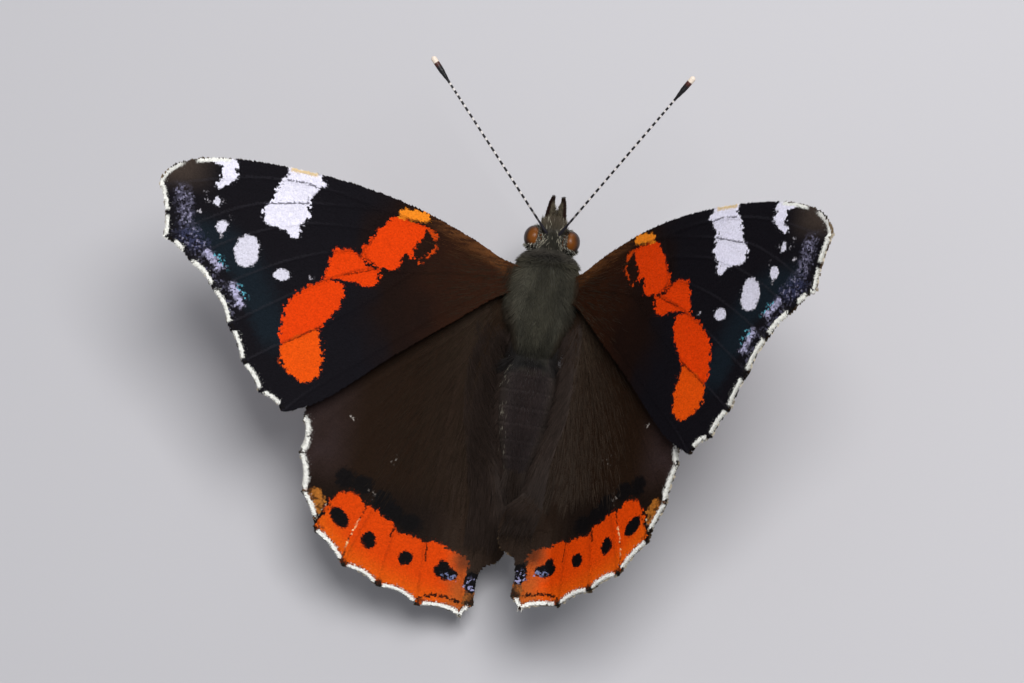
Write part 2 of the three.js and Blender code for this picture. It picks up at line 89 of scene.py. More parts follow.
def turn_to_room(directions):
    return np.asarray(directions, float) @ stance.T


print("thorax centre in the room, mm:", body_place.round(3))

# %% [markdown]
# ## Small tools of shape
#
# Curves through a few chosen points describe margins, veins and markings. Distances to them decide where a
# colour ends or a vein rises. A seeded value noise gives soft, repeatable variation.

# %% Curves, distances and noise


def ramp(value, low, high):
    t = np.clip((value - low) / (high - low), 0, 1)
    return t * t * (3 - 2 * t)


def smooth_line(points, step=0.25, closed=False):
    """A Catmull-Rom curve through points, sampled evenly."""
    pts = np.asarray(points, float)
    if closed:
        padded = np.vstack([pts[-1:], pts, pts[:2]])
    else:
        padded = np.vstack([pts[:1], pts, pts[-1:]])
    t = np.linspace(0, 1, 24, endpoint=False)[:, None]
    pieces = []
    for i in range(len(padded) - 3):
        p0, p1, p2, p3 = padded[i:i + 4]
        v0 = (p2 - p0) / 2
        v1 = (p3 - p1) / 2
        bend = (2 * p1 - 2 * p2 + v0 + v1) * t**3 + (-3 * p1 + 3 * p2 - 2 * v0 - v1) * t**2
        pieces.append(bend + v0 * t + p1)
    pieces.append(padded[-2:-1] if not closed else pts[:1])
    dense = np.vstack(pieces)
    return resample(dense, step)


def resample(line, step):
    lengths = np.r_[0, np.cumsum(np.linalg.norm(np.diff(line, axis=0), axis=1))]
    count = max(2, round(lengths[-1] / step)) + 1
    at = np.linspace(0, lengths[-1], count)
    return np.column_stack([np.interp(at, lengths, line[:, k]) for k in range(line.shape[1])])


def to_segments(points, line, chunk=4000):
    """Distance of each point to a polyline, and how far along it the nearest place is."""
    a = line[:-1]
    d = line[1:] - a
    square = np.maximum((d**2).sum(axis=1), 1e-12)
    start = np.r_[0, np.cumsum(np.sqrt(square))[:-1]]
    best = np.empty(len(points))
    along = np.empty(len(points))
    for s in range(0, len(points), chunk):
        p = points[s:s + chunk, None, :]
        t = np.clip(((p - a) * d).sum(axis=2) / square, 0, 1)
        gap = ((p - a - t[..., None] * d)**2).sum(axis=2)
        k = gap.argmin(axis=1)
        rows = np.arange(len(k))
        best[s:s + chunk] = np.sqrt(gap[rows, k])
        along[s:s + chunk] = start[k] + t[rows, k] * np.sqrt(square[k])
    return best, along


def inside(points, loop):
    x, y = points[:, 0], points[:, 1]
    odd = np.zeros(len(points), bool)
    for a, b in zip(loop, np.roll(loop, -1, axis=0)):
        if a[1] != b[1]:
            crosses = (a[1] > y) != (b[1] > y)
            odd ^= crosses & (x < a[0] + (y - a[1]) * (b[0] - a[0]) / (b[1] - a[1]))
    return odd


NEAR_REACH = 1.2
FAR_OUTSIDE = -5.0


def depth_in(points, loop):
    """Signed distance to a closed outline, positive inside; places far from it all get one low value."""
    out = np.full(len(points), FAR_OUTSIDE)
    low = loop.min(axis=0) - NEAR_REACH
    high = loop.max(axis=0) + NEAR_REACH
    near = ((points > low) & (points < high)).all(axis=1)
    if near.any():
        p = points[near]
        gap, _ = to_segments(p, np.vstack([loop, loop[:1]]))
        out[near] = np.where(inside(p, loop), gap, -gap)
    return out


NOISE_SIZE = 128
noise_grids = {}


def noise(x, y, scale, seed):
    """Smooth random values from -1 to 1; scale is the size of a blot in millimetres."""
    if seed not in noise_grids:
        noise_grids[seed] = np.random.default_rng(seed).uniform(-1, 1, (NOISE_SIZE, NOISE_SIZE))
    grid = noise_grids[seed]
    u = np.asarray(x) / scale
    v = np.asarray(y) / scale
    i = np.floor(u).astype(int)
    j = np.floor(v).astype(int)
    fu = ramp(u - i, 0, 1)
    fv = ramp(v - j, 0, 1)

    def pick(a, b):
        return grid[(i + a) % NOISE_SIZE, (j + b) % NOISE_SIZE]

    low = pick(0, 0) * (1 - fu) + pick(1, 0) * fu
    high = pick(0, 1) * (1 - fu) + pick(1, 1) * fu
    return low * (1 - fv) + high * fv


def colour(code):
    """A hex colour as it looks on a screen, made linear for the shader."""
    c = np.array([int(code[i:i + 2], 16) for i in (0, 2, 4)]) / 255
    return np.where(c <= 0.04045, c / 12.92, ((c + 0.055) / 1.055)**2.4)


def lay(base, cover, new):
    """Colour new over base where cover is 1."""
    return base + (np.asarray(new) - base) * np.clip(cover, 0, 1)[:, None]


def plain(tone, count):
    """One colour for count places."""
    return np.tile(tone, (count, 1))


def uneven(tint, rng, low, high):
    """Makes each place's colour lighter or darker by a random factor."""
    return tint * rng.uniform(low, high, len(tint))[:, None]


def normed(vectors):
    """Vectors of length one."""
    return vectors / np.maximum(np.linalg.norm(vectors, axis=1, keepdims=True), 1e-9)


def turns_round(count):
    return np.arange(count) * 2 * math.pi / count


print("tools ready")

# %% [markdown]
# ## Wing plans
#
# Each wing is described flat, seen from above on the right side, with the hinge at 0, 0, x out along the wing
# and y towards the head. The left wings are the same plans mirrored. The points on the outer margin are the
# tips of the veins, and shallow bays run between them.

# %% Forewing and hindwing plans
SPAN = 31.3
CAMBER = 0.7
FRINGE = 0.42

FORE_TIPS = [(31.3, 3.0), (30.4, -1.3), (27.9, -3.0), (25.7, -4.9), (24.0, -7.6), (22.4, -10.6),
             (20.5, -12.9), (18.3, -14.1)]
FOREWING = {
    "front": [(-1.2, 0.9), (1.5, 1.5), (4.2, 2.7), (9.3, 4.5), (14.5, 5.6), (20, 6.15), (25.5, 6.15),
              (28.8, 5.55), (30.6, 4.45), FORE_TIPS[0]],
    "tips": FORE_TIPS,
    "bay_depths": [0.28] * 7,
    "rear": [FORE_TIPS[-1], (14.8, -12.4), (9.8, -8.1), (5.5, -4.7), (1.0, -1.3), (-1.2, -1.0)],
    "veins": [
        [(2.2, 1.0), (7, 2.9), (12.2, 4.0), (17.5, 5.0), (24, 4.9), FORE_TIPS[0]],
        [(12.2, 4.0), (18.5, 3.6), (22.3, 3.0), (25.9, 1.5), FORE_TIPS[1]],
        [(12.2, 4.0), (12.9, 2.2), (13.4, 0.4)],
        [(12.9, 2.2), (18.9, 1.8), (24.6, -0.5), FORE_TIPS[2]],
        [(13.4, 0.4), (17, -0.4), (20.8, -2.0), FORE_TIPS[3]],
        [(2.2, 0.1), (6, -0.2), (9, -0.7), (12.4, -0.9), (13.4, 0.4)],
        [(12.4, -0.9), (15, -1.9), (18.5, -3.9), FORE_TIPS[4]],
        [(9, -0.7), (12.5, -3.7), (16.3, -6.6), (19.1, -8.3), FORE_TIPS[5]],
        [(2.4, -1.0), (8, -5.2), (13, -9.3), (16.5, -12.2), FORE_TIPS[7]],
    ],
}

HIND_TIPS = [(16.2, -12.4), (16.3, -15.0), (15.6, -18.3), (14.05, -21.5), (11.2, -24.2), (7.95, -25.5),
             (4.25, -26.65), (0.2, -27.1), (-0.6, -26.0)]
HINDWING = {
    "front": [(-1.2, 0.6), (1.0, 1.5), (3.5, 2.1), (7, 1.3), (10.5, -0.9), (13.6, -4.6), (15.4, -8.4),
              HIND_TIPS[0]],
    "tips": HIND_TIPS,
    "bay_depths": [0.28, 0.28, 0.3, 0.32, 0.4, 0.44, 0.42, 0.12],
    "rear": [HIND_TIPS[-1], (-0.5, -24.2), (-0.65, -23.0), (-1.05, -22.2), (-2.1, -21.7), (-2.55, -20.6),
             (-2.6, -18.5), (-2.3, -15.5), (-2.0, -12), (-1.8, -6), (-1.4, -2), (-1.2, -1.0)],
    "veins": [
        [(2.0, 0.6), (8, -1.7), (13, -6.6), HIND_TIPS[0]],
        [(2.2, -0.6), (5, -3.5), (10.5, -8), (14.3, -12), HIND_TIPS[1]],
        [(5, -3.5), (8, -7.4), (12.2, -13), HIND_TIPS[2]],
        [(8, -7.4), (11, -14.2), HIND_TIPS[3]],
        [(5.4, -9.4), (8.8, -17.6), HIND_TIPS[4]],
        [(2.0, -1.6), (3.6, -5.6), (5.4, -9.4), (6.7, -17.5), HIND_TIPS[5]],
        [(3.6, -5.6), (4.1, -12.5), (4.4, -20), HIND_TIPS[6]],
        [(1.6, -2.2), (2.2, -8), (1.7, -17), HIND_TIPS[7]],
    ],
}

# Beside the abdomen the hindwing's inner edge bends down along a line of places in the plan. From fading
# to flat it opens again behind the abdomen, behind is what is left of the bend there, and upright is how
# steep the bent part is in the end. Shade is painted light and shade: how much lighter or darker the
# scales of that part are painted for the way the bent part faces the light, lighter on the left and darker
# on the right.
LEFT_FOLD = {
    "line": [(1.5, 0), (1.6, -4), (1.65, -6), (1.55, -8), (1.25, -10), (0.8, -12), (0.15, -14),
             (-0.5, -15.5)],
    "fading": 14.5, "flat": 18.5, "behind": 0, "upright": 64, "shade": 0.10,
}
RIGHT_FOLD = {
    "line": [(0.95, 0), (0.95, -4), (1.0, -6), (0.9, -8), (0.55, -10), (-0.2, -12), (-0.9, -14),
             (-1.0, -15.5), (2.5, -20), (3.5, -30)],
    "fading": 13.5, "flat": 19, "behind": -0.65, "upright": 100, "shade": -0.26,
}
WINGS = {
    "forewing_left": dict(
        plan=FOREWING, side=-1, hinge=(2.3, 1.6, 1.2), raised=10, twist=0, sweep=0, fold=None),
    "forewing_right": dict(
        plan=FOREWING, side=1, hinge=(2.3, 1.3, 1.2), raised=52.2, twist=-2.8, sweep=7.2, fold=None),
    "hindwing_left": dict(
        plan=HINDWING, side=-1, hinge=(2.4, -0.6, -0.1), raised=8, twist=0, sweep=0, fold=LEFT_FOLD),
    "hindwing_right": dict(
        plan=HINDWING, side=1, hinge=(2.4, 0.2, -0.2), raised=48.5, twist=-9, sweep=10.6, fold=RIGHT_FOLD),
}
OUTLINE_STEP = 0.22


def bays(plan, inset, steps=14):
    """The outer margin between the vein tips, moved in by inset."""
    tips = np.asarray(plan["tips"], float)
    t = (np.arange(steps) / steps)[:, None]
    line = []
    for a, b, depth in zip(tips[:-1], tips[1:], plan["bay_depths"]):
        along = b - a
        inward = np.array([along[1], -along[0]]) / np.hypot(*along)
        line.append(a + along * t + inward * (depth * 4 * t * (1 - t) + inset))
    return np.vstack(line + [tips[-1:] + [0, inset]])


def margins(plan, inset=0.0):
    front = smooth_line(plan["front"], 0.3)
    rear = smooth_line(plan["rear"], 0.3)
    return front[:-1], bays(plan, inset), rear[1:]


def outline(plan, inset=0.0):
    loop = np.vstack(margins(plan, inset))
    return resample(np.vstack([loop, loop[:1]]), OUTLINE_STEP)[:-1]


def vein_gap(points, plan):
    """Distance to the nearest vein."""
    gap = np.full(len(points), 9.0)
    for vein in plan["veins"]:
        near, _ = to_segments(points, smooth_line(vein, 0.5))
        gap = np.minimum(gap, near)
    return gap


print("outline points:", len(outline(FOREWING)), len(outline(HINDWING)))

# %% [markdown]
# ## The wing's surface
#
# A wing isn't flat: it has a low camber, the veins stand up as ridges with the membrane sagging between them,
# and the hindwing's inner edge folds down along the abdomen. Functions of the plan's x and y give all of it,
# so the skin, the scales and the hairs can all be set on the same surface.

# %% Surface of a wing
FOLD_RADIUS = 1.0
FOLD_HINGE = 1.5
FOLD_FULL = 4.0
VEIN_RISE = 0.08
VEIN_HALF = 0.16
SAG = 0.05


def middle_surface(x, y, wing):
    z = CAMBER * np.sin(np.pi * np.clip(x / SPAN, 0, 1))
    fold = wing["fold"]
    if not fold:
        return np.column_stack([x, y, z])
    line = np.array(fold["line"], float)
    start = np.interp(-y, -line[:, 1], line[:, 0])
    most = math.radians(fold["upright"] - wing["raised"])
    strength = ramp(-y, FOLD_HINGE, FOLD_FULL) + (fold["behind"] - 1) * ramp(-y, fold["fading"], fold["flat"])
    turn = most * strength
    turn = np.where(np.abs(turn) < 1e-4, 1e-4, turn)
    way = np.maximum(start - x, 0)
    arc = np.minimum(way, FOLD_RADIUS * most)
    angle = turn * arc / (FOLD_RADIUS * most)
    curl = FOLD_RADIUS * most / turn
    straight = way - arc
    inward = curl * np.sin(angle) + straight * np.cos(angle)
    down = curl * (1 - np.cos(angle)) + straight * np.sin(angle)
    return np.column_stack([x + way - inward, y, z - down])


def sag_between_veins(x, y, plan):
    gap = vein_gap(np.column_stack([x, y]), plan)
    return VEIN_RISE * np.exp(-((gap / VEIN_HALF)**2)) - SAG * ramp(gap, 0.1, 1.4)


def surface(x, y, wing):
    """Points of the middle surface and its upward normals."""
    step = 0.02
    dx = middle_surface(x + step, y, wing) - middle_surface(x - step, y, wing)
    dy = middle_surface(x, y + step, wing) - middle_surface(x, y - step, wing)
    normal = np.cross(dx, dy)
    return middle_surface(x, y, wing), normed(normal)


def wing_turn(wing):
    side = wing["side"]
    turn = (Matrix.Rotation(-side * math.radians(wing["raised"]), 3, "Y")
            @ Matrix.Rotation(math.radians(wing["twist"]), 3, "X")
            @ Matrix.Rotation(side * math.radians(wing["sweep"]), 3, "Z"))
    return np.array(turn)


def wing_to_room(points, wing):
    local = points * [wing["side"], 1, 1]
    hinge = np.array(wing["hinge"]) * [wing["side"], 1, 1]
    return to_room(local @ wing_turn(wing).T + hinge)


def wing_directions(vectors, wing):
    return turn_to_room((vectors * [wing["side"], 1, 1]) @ wing_turn(wing).T)


print("surface ready")

# %% [markdown]
# ## Markings of the upper side
#
# The real pattern is a mosaic of single-coloured scales, so its edges are toothed. Each marking is a named
# outline in plan millimetres. The place that is asked for is first shaken by a fine noise, which makes the
# toothed edge, and the same function colours the skin and every scale on it.

# %% Colours and named markings
BLACK = colour("121015")
BASE_BROWN = colour("30190d")
DARK_BROWN = colour("1b0f0b")
GOLDEN = colour("7a4c28")
APEX_GREY = colour("453a33")
# partly the black scales' own blue-teal structural colour, partly a painted sheen
TEAL_AND_PAINTED_SHEEN = colour("17262f")
LAVENDER = colour("7b7891")
BLUE_VIOLET = colour("474b6c")
PATCH_WHITE = colour("bdb9d8")
CYAN = colour("5fb0c4")
ORANGE = colour("e23f04")
ORANGE_START = colour("f08a20")
TAIL_ORANGE = colour("e85208")
CRESCENT_RED = colour("c84208")
HAIRLINE = colour("6a1c04")
WHITE = colour("ebe8f6")
CREAM = colour("e0c69a")
FRINGE_WHITE = colour("f0efe8")
HIND_BROWN = colour("23160d")
HIND_INNER = colour("2d221b")
# partly the hindwing's own violet-brown, partly a painted sheen
HIND_VIOLET_AND_PAINTED_SHEEN = colour("372b2b")
BAND_ORANGE = colour("d84303")
BAND_LOW = colour("de6810")
WEDGE_ORANGE = colour("b8702a")
INNER_BROWN = colour("9a5a28")
SPOT_BLACK = colour("0d0b0c")
BLUE_SPECK = colour("8e98c4")
LILAC_SPECK = colour("9c9ac2")
TIP_SPECK = colour("b5b0b8")
BAR_HAIRLINE = colour("5a5866")
VEIN_GREY = colour("343238")
CLUSTER_GREY = colour("6f6862")
PALE_HAIRLINE = colour("b0a8a0")
WEDGE_MOTTLE = colour("3a2010")
WEDGE_PALE = colour("c8b8a0")
LINE_DARK = colour("2a1208")
SHORT_VEIN_DARK = colour("2a0e04")
DASH_PALE = colour("eec088")
TIP_DARK = colour("1a1a16")
RIM_BROWN = colour("3a1806")

BAND_CELL = [(13.7, 0.2), (13.2, 1.25), (11.5, 3.45), (10.35, 3.5), (8.65, 3.25), (8.35, 2.87),
             (8.65, 2.06), (9.15, 1.15), (9.25, 0.15), (9.65, 0.62), (10.05, 0.45), (10.3, -0.65),
             (10.95, -0.87), (11.9, -0.8), (13.15, -0.45)]
BAND_START = [(10.95, 4.0), (10.0, 4.35), (8.5, 4.25), (8.3, 3.62), (9.65, 3.52), (10.9, 3.55)]
BAND_MID = [(15.85, 0.1), (15.2, 0.28), (14.35, 0.2), (13.6, -0.2), (12.9, -0.85), (12.1, -0.92),
            (11.7, -1.2), (12.0, -2.1), (12.4, -2.5), (13.4, -2.45), (14.4, -2.3), (15.3, -2.25),
            (16.5, -2.62), (16.25, -1.7), (16.05, -0.8)]
BAND_LOW_PART = [(16.45, -2.7), (15.0, -2.55), (14.5, -3.15), (14.6, -4.1), (15.0, -5.15), (15.85, -6.35),
                 (16.5, -6.9), (18.8, -8.3), (19.3, -7.85), (19.3, -6.0), (19.0, -4.8), (17.95, -3.5)]
BAND_TAIL = [(19.15, -8.5), (16.6, -6.85), (16.05, -7.0), (15.75, -8.05), (15.45, -10.15), (15.9, -10.8),
             (16.8, -11.35), (17.5, -11.1), (18.6, -10.3), (19.05, -9.4)]
BAND_HAIRS = [[(13.87, -0.05), (12.12, -0.84), (14.87, -1.92)], [(18.9, -8.32), (16.07, -6.49)]]
CRESCENT = [(8.2, 3.0), (7.42, 2.38), (7.28, 1.54), (7.85, 0.7), (8.5, 0.2)]
WHITE_BAR = [(20.45, 6.3), (18.4, 6.3), (17.5, 5.25), (18.0, 4.93), (18.14, 4.48), (18.6, 3.88),
             (18.36, 2.85), (18.5, 2.18), (19.2, 1.33), (18.88, 1.06), (18.93, 0.73), (19.46, 0.38),
             (19.9, 0.79), (20.8, 1.12), (21.85, 1.33), (22.2, 1.91), (22.27, 2.64), (21.88, 3.23),
             (21.34, 4.49), (21.11, 5.06), (20.67, 5.67)]
BAR_HAIRS = [[(20.7, 5.13), (19.4, 5.18), (18.0, 4.93)], [(22.26, 2.96), (20.4, 3.26), (18.6, 3.55)]]
TIP_PATCH = [(28.0, 5.95), (26.8, 6.25), (25.5, 6.25), (24.95, 5.92), (25.13, 5.36), (24.8, 4.83),
             (25.16, 4.51), (25.6, 4.01), (26.4, 3.56), (26.5, 4.18), (26.1, 4.41), (26.32, 4.85),
             (26.27, 5.5), (26.92, 5.65)]
WHITE_DOTS = [((26.26, 2.47), 0.27, 0.41), ((25.49, 0.47), 0.46, 0.54), ((23.14, -1.22), 1.05, 1.34),
              ((19.95, -2.73), 0.62, 0.52)]
SPECK_RADII = (0.2, 0.17)
TIP_SPECKS = [(27.25, 3.05), (27.05, 2.45), (27.53, 1.47), (25.64, 2.52), (24.96, 1.25), (25.56, -0.34),
              (17.45, -2.55)]
# where the white of the fringe runs, counted in bays from the front: whole numbers are vein tips
FORE_FRINGE = [(-0.15, 0.46), (0.57, 0.97), (1.33, 1.66), (2.03, 2.9), (3.04, 3.96), (4.22, 4.92),
               (5.12, 5.9), (6.15, 6.8)]
HIND_FRINGE = [(-0.1, 0.94), (1.05, 1.93), (2.04, 2.68), (3.05, 3.84), (4.12, 4.9), (5.1, 5.9), (6.1, 6.9),
               (7.12, 7.9)]
HIND_SPOTS = [((11.9, -19.9), 1.05, 0.64, 0.8), ((9.15, -21.42), 0.64, 0.74, 0.0),
              ((5.8, -22.5), 0.64, 0.62, 0.0), ((2.2, -23.25), 1.1, 0.6, 0.2),
              ((2.45, -22.8), 0.5, 0.6, 0.0), ((-0.25, -23.8), 0.88, 0.92, 0.0)]
HIND_BAND_TOP = [(13.3, -19.4), (12.8, -18.45), (12.27, -17.96), (11.63, -17.7), (10.94, -17.76),
                 (10.32, -18.07), (9.89, -18.57), (8.82, -18.87), (8.41, -19.26), (7.3, -19.8),
                 (7.0, -20.35), (5.67, -20.57), (4.18, -20.92), (3.69, -20.74), (2.34, -21.23),
                 (0.75, -21.65), (0.35, -22.3)]
HIND_BLOTS = [((11.9, -16.6), 0.8, 0.9), ((8.36, -18.1), 0.95, 1.0), ((5.85, -19.5), 1.0, 0.75),
              ((10.3, -16.9), 0.9, 0.8), ((7.3, -18.9), 0.8, 0.8)]
WEDGE = [(15.4, -17.5), (14.9, -17.9), (14.2, -17.75), (13.6, -18.2), (13.3, -18.75), (13.45, -19.3),
         (13.8, -20.05), (14.15, -20.6), (14.8, -20.1), (15.3, -18.8)]
INNER_CORNER = [(0.2, -24.5), (-0.6, -24.6), (-0.7, -25.4), (-0.3, -26.2), (0.3, -26.1)]
WEDGE_LINE = [(13.05, -18.8), (13.57, -19.8), (14.05, -20.9)]
DASHED_VEIN = [(9.75, -18.7), (10.07, -19.62), (10.49, -20.59), (10.87, -21.78), (11.05, -22.8),
               (11.15, -24.0)]
SHORT_VEINS = [[(7.15, -20.2), (7.4, -20.95)], [(4.2, -20.9), (4.16, -21.72), (4.1, -22.5)]]
CORNER_LINE = [(4.2, -25.7), (3.3, -25.35), (2.14, -25.25), (1.17, -25.45), (0.5, -25.7)]
HIND_CLUSTERS = [((7.62, -14.2), 0.9, 0.6), ((9.4, -17.5), 0.5, 0.5)]
PALE_VEIN = [(12.6, -10.9), (12.0, -11.5), (11.2, -12.6)]


def blob(points, centre, rx, ry, tilt=0.0):
    """Depth inside an ellipse, about in millimetres."""
    c, s = math.cos(tilt), math.sin(tilt)
    d = points - np.array(centre)
    u = (d[:, 0] * c + d[:, 1] * s) / rx
    v = (-d[:, 0] * s + d[:, 1] * c) / ry
    return (1 - np.hypot(u, v)) * min(rx, ry)


def patch_depth(points, loop):
    return depth_in(points, smooth_line(loop, 0.2, closed=True))


def line_cover(points, line, half):
    """1 on a drawn line, fading at its edge."""
    gap, _ = to_segments(points, smooth_line(line, 0.2))
    return 1 - ramp(gap, half * 0.6, half * 1.4)


def shaken(x, y, amount):
    """The place with a fine jitter, which gives the markings their toothed edges."""
    dx = noise(x, y, 0.2, 11) * amount * 1.4
    dy = noise(x, y, 0.2, 12) * amount * 0.7
    return np.column_stack([x + dx, y + dy])


def outer_margin(points, plan):
    """Distance in from the outer margin, and the way along it counted in bays: whole numbers at vein tips."""
    tips = np.asarray(plan["tips"], float)
    gap, along = to_segments(points, tips)
    ends = np.r_[0, np.cumsum(np.linalg.norm(np.diff(tips, axis=0), axis=1))]
    return gap, np.interp(along, ends, np.arange(len(tips)))


def in_bays(bay, runs, soft=0.03):
    """1 where the way along the margin lies in one of the runs."""
    cover = np.zeros(len(bay))
    for low, high in runs:
        begun = ramp(bay, low - soft, low + soft)
        cover = np.maximum(cover, begun * (1 - ramp(bay, high - soft, high + soft)))
    return cover


def bay_depth(bay, plan):
    """How far the scalloped edge lies inside the straight line between two vein tips."""
    depths = np.asarray(plan["bay_depths"])
    phase = bay % 1
    return depths[np.clip(bay.astype(int), 0, len(depths) - 1)] * 4 * phase * (1 - phase)


def edge(depth, soft=0.05):
    return ramp(depth, -soft, soft)


RIM_WHITE = 0.5


def forewing_upper(x, y):
    p = shaken(x, y, 0.2)
    even = np.column_stack([x, y])
    fine = noise(x, y, 0.12, 21)
    reach = np.hypot(x, y) + 1.2 * noise(x, y, 1.5, 3)
    gap, bay = outer_margin(p, FOREWING)
    base = plain(BLACK, len(x))
    base = lay(base, 1 - ramp(reach, 11, 15), DARK_BROWN)
    base = lay(base, (1 - ramp(reach, 4, 11)) * 0.9, BASE_BROWN)
    streak = (1 - ramp(np.abs(y - 0.42 * x - 0.6), 0.2, 1.1)) * (1 - ramp(x, 5.5, 9.5)) * ramp(x, -0.5, 2)
    base = lay(base, streak * (0.3 + 0.35 * noise(x * 0.4, y * 4, 0.5, 4)), GOLDEN)
    base = lay(base, ramp(x, 26, 29.5) * ramp(y, 2.4, 4.6) * 0.8, APEX_GREY)
    teal_and_painted_sheen = ramp(gap, 1.6, 2.8) * (1 - ramp(gap, 3.6, 6.0)) * ramp(-y, -1.8, 0.2) * (1 - ramp(-y, 7.5, 10))
    # a teal band inside the margin: partly the scales' own structural colour, partly a painted sheen
    base = lay(base, teal_and_painted_sheen * 0.5, TEAL_AND_PAINTED_SHEEN)
    # dust of pale scales inside the margin: lavender by the tip, then blue, then two pale patches
    middle = 1.65 + 0.5 * ramp(y, -1.4, 0.2)
    dust = (1 - ramp(np.abs(gap - middle), 0.3, 0.95)) * ramp(y, -2.6, -1.0) * (1 - ramp(y, 2.6, 3.8))
    tone = lay(plain(LAVENDER, len(x)), 1 - ramp(y, -0.5, 0.7), BLUE_VIOLET)
    base = base + (tone - base) * (dust * ramp(fine, -0.6, 0.7) * 0.62)[:, None]
    base = lay(base, dust * ramp(noise(x, y, 0.11, 26), 0.45, 0.6) * 0.38, PATCH_WHITE)
    runs = in_bays(bay, [(2.08, 2.78), (3.08, 3.74)], 0.06)
    base = lay(base, runs * (1 - ramp(np.abs(gap - 1.85), 0.18, 0.45)) * ramp(fine, -0.9, 0.3), PATCH_WHITE)
    cyan = in_bays(bay, [(2.3, 2.85), (3.15, 3.6)], 0.1) * (1 - ramp(np.abs(gap - 2.35), 0.12, 0.4))
    base = lay(base, cyan * ramp(noise(x, y, 0.12, 23), 0.25, 0.5), CYAN)
    outer = (1 - ramp(np.abs(gap - 0.95), 0.1, 0.5)) * in_bays(bay, [(1.9, 3.9)], 0.2)
    base = lay(base, outer * ramp(fine, 0.1, 0.5) * 0.45, LAVENDER)
    band = [(BAND_CELL, ORANGE), (BAND_MID, ORANGE), (BAND_LOW_PART, ORANGE), (BAND_TAIL, TAIL_ORANGE),
            (BAND_START, ORANGE_START)]
    for part, tone in band:
        base = lay(base, edge(patch_depth(p, part)), tone)
    base = lay(base, line_cover(p, CRESCENT, 0.17) * ramp(noise(x, y, 0.4, 24), -0.75, -0.3), CRESCENT_RED)
    for hairline in BAND_HAIRS:
        base = lay(base, line_cover(even, hairline, 0.05) * 0.8, HAIRLINE)
    for part in (WHITE_BAR, TIP_PATCH):
        base = lay(base, edge(patch_depth(p, part)), WHITE)
    calm = (p + even) / 2
    for centre, rx, ry in WHITE_DOTS:
        base = lay(base, edge(blob(calm, centre, rx, ry)) * 0.85, WHITE)
    for centre in TIP_SPECKS:
        near = edge(blob(even, centre, *SPECK_RADII), 0.08)
        base = lay(base, near * ramp(noise(x, y, 0.13, 25), 0.0, 0.4), TIP_SPECK)
    for hairline in BAR_HAIRS:
        base = lay(base, line_cover(even, hairline, 0.05) * 0.85, BAR_HAIRLINE)
    veins = vein_gap(even, FOREWING)
    bright = ramp(base.max(axis=1), 0.05, 0.3)
    warm = bright * ramp(base[:, 0] - base[:, 2], 0.1, 0.3)
    base = lay(base, (1 - ramp(veins, 0.03, 0.09)) * warm * 0.4, HAIRLINE)
    base = lay(base, (1 - ramp(veins, 0.03, 0.12)) * (1 - bright) * ramp(x, 14, 20) * 0.25, VEIN_GREY)
    front, _ = to_segments(even, smooth_line(FOREWING["front"], 0.4))
    costa = 1 - ramp(front, 0.18, 0.34)
    # the front edge is cream beside the white bar and white beside the tip patch
    base = lay(base, costa * (1 - ramp(np.abs(x - 19.4), 1.0, 1.3)), CREAM)
    base = lay(base, costa * (1 - ramp(np.abs(x - 27.0), 1.2, 1.6)), FRINGE_WHITE)
    base = lay(base, costa * ramp(x, 29.2, 29.8) * 0.8, FRINGE_WHITE)
    even_gap, even_bay = outer_margin(even, FOREWING)
    rim = 1 - ramp(even_gap - bay_depth(even_bay, FOREWING), RIM_WHITE, RIM_WHITE + 0.08)
    base = lay(base, rim * in_bays(even_bay, FORE_FRINGE), FRINGE_WHITE)
    return base


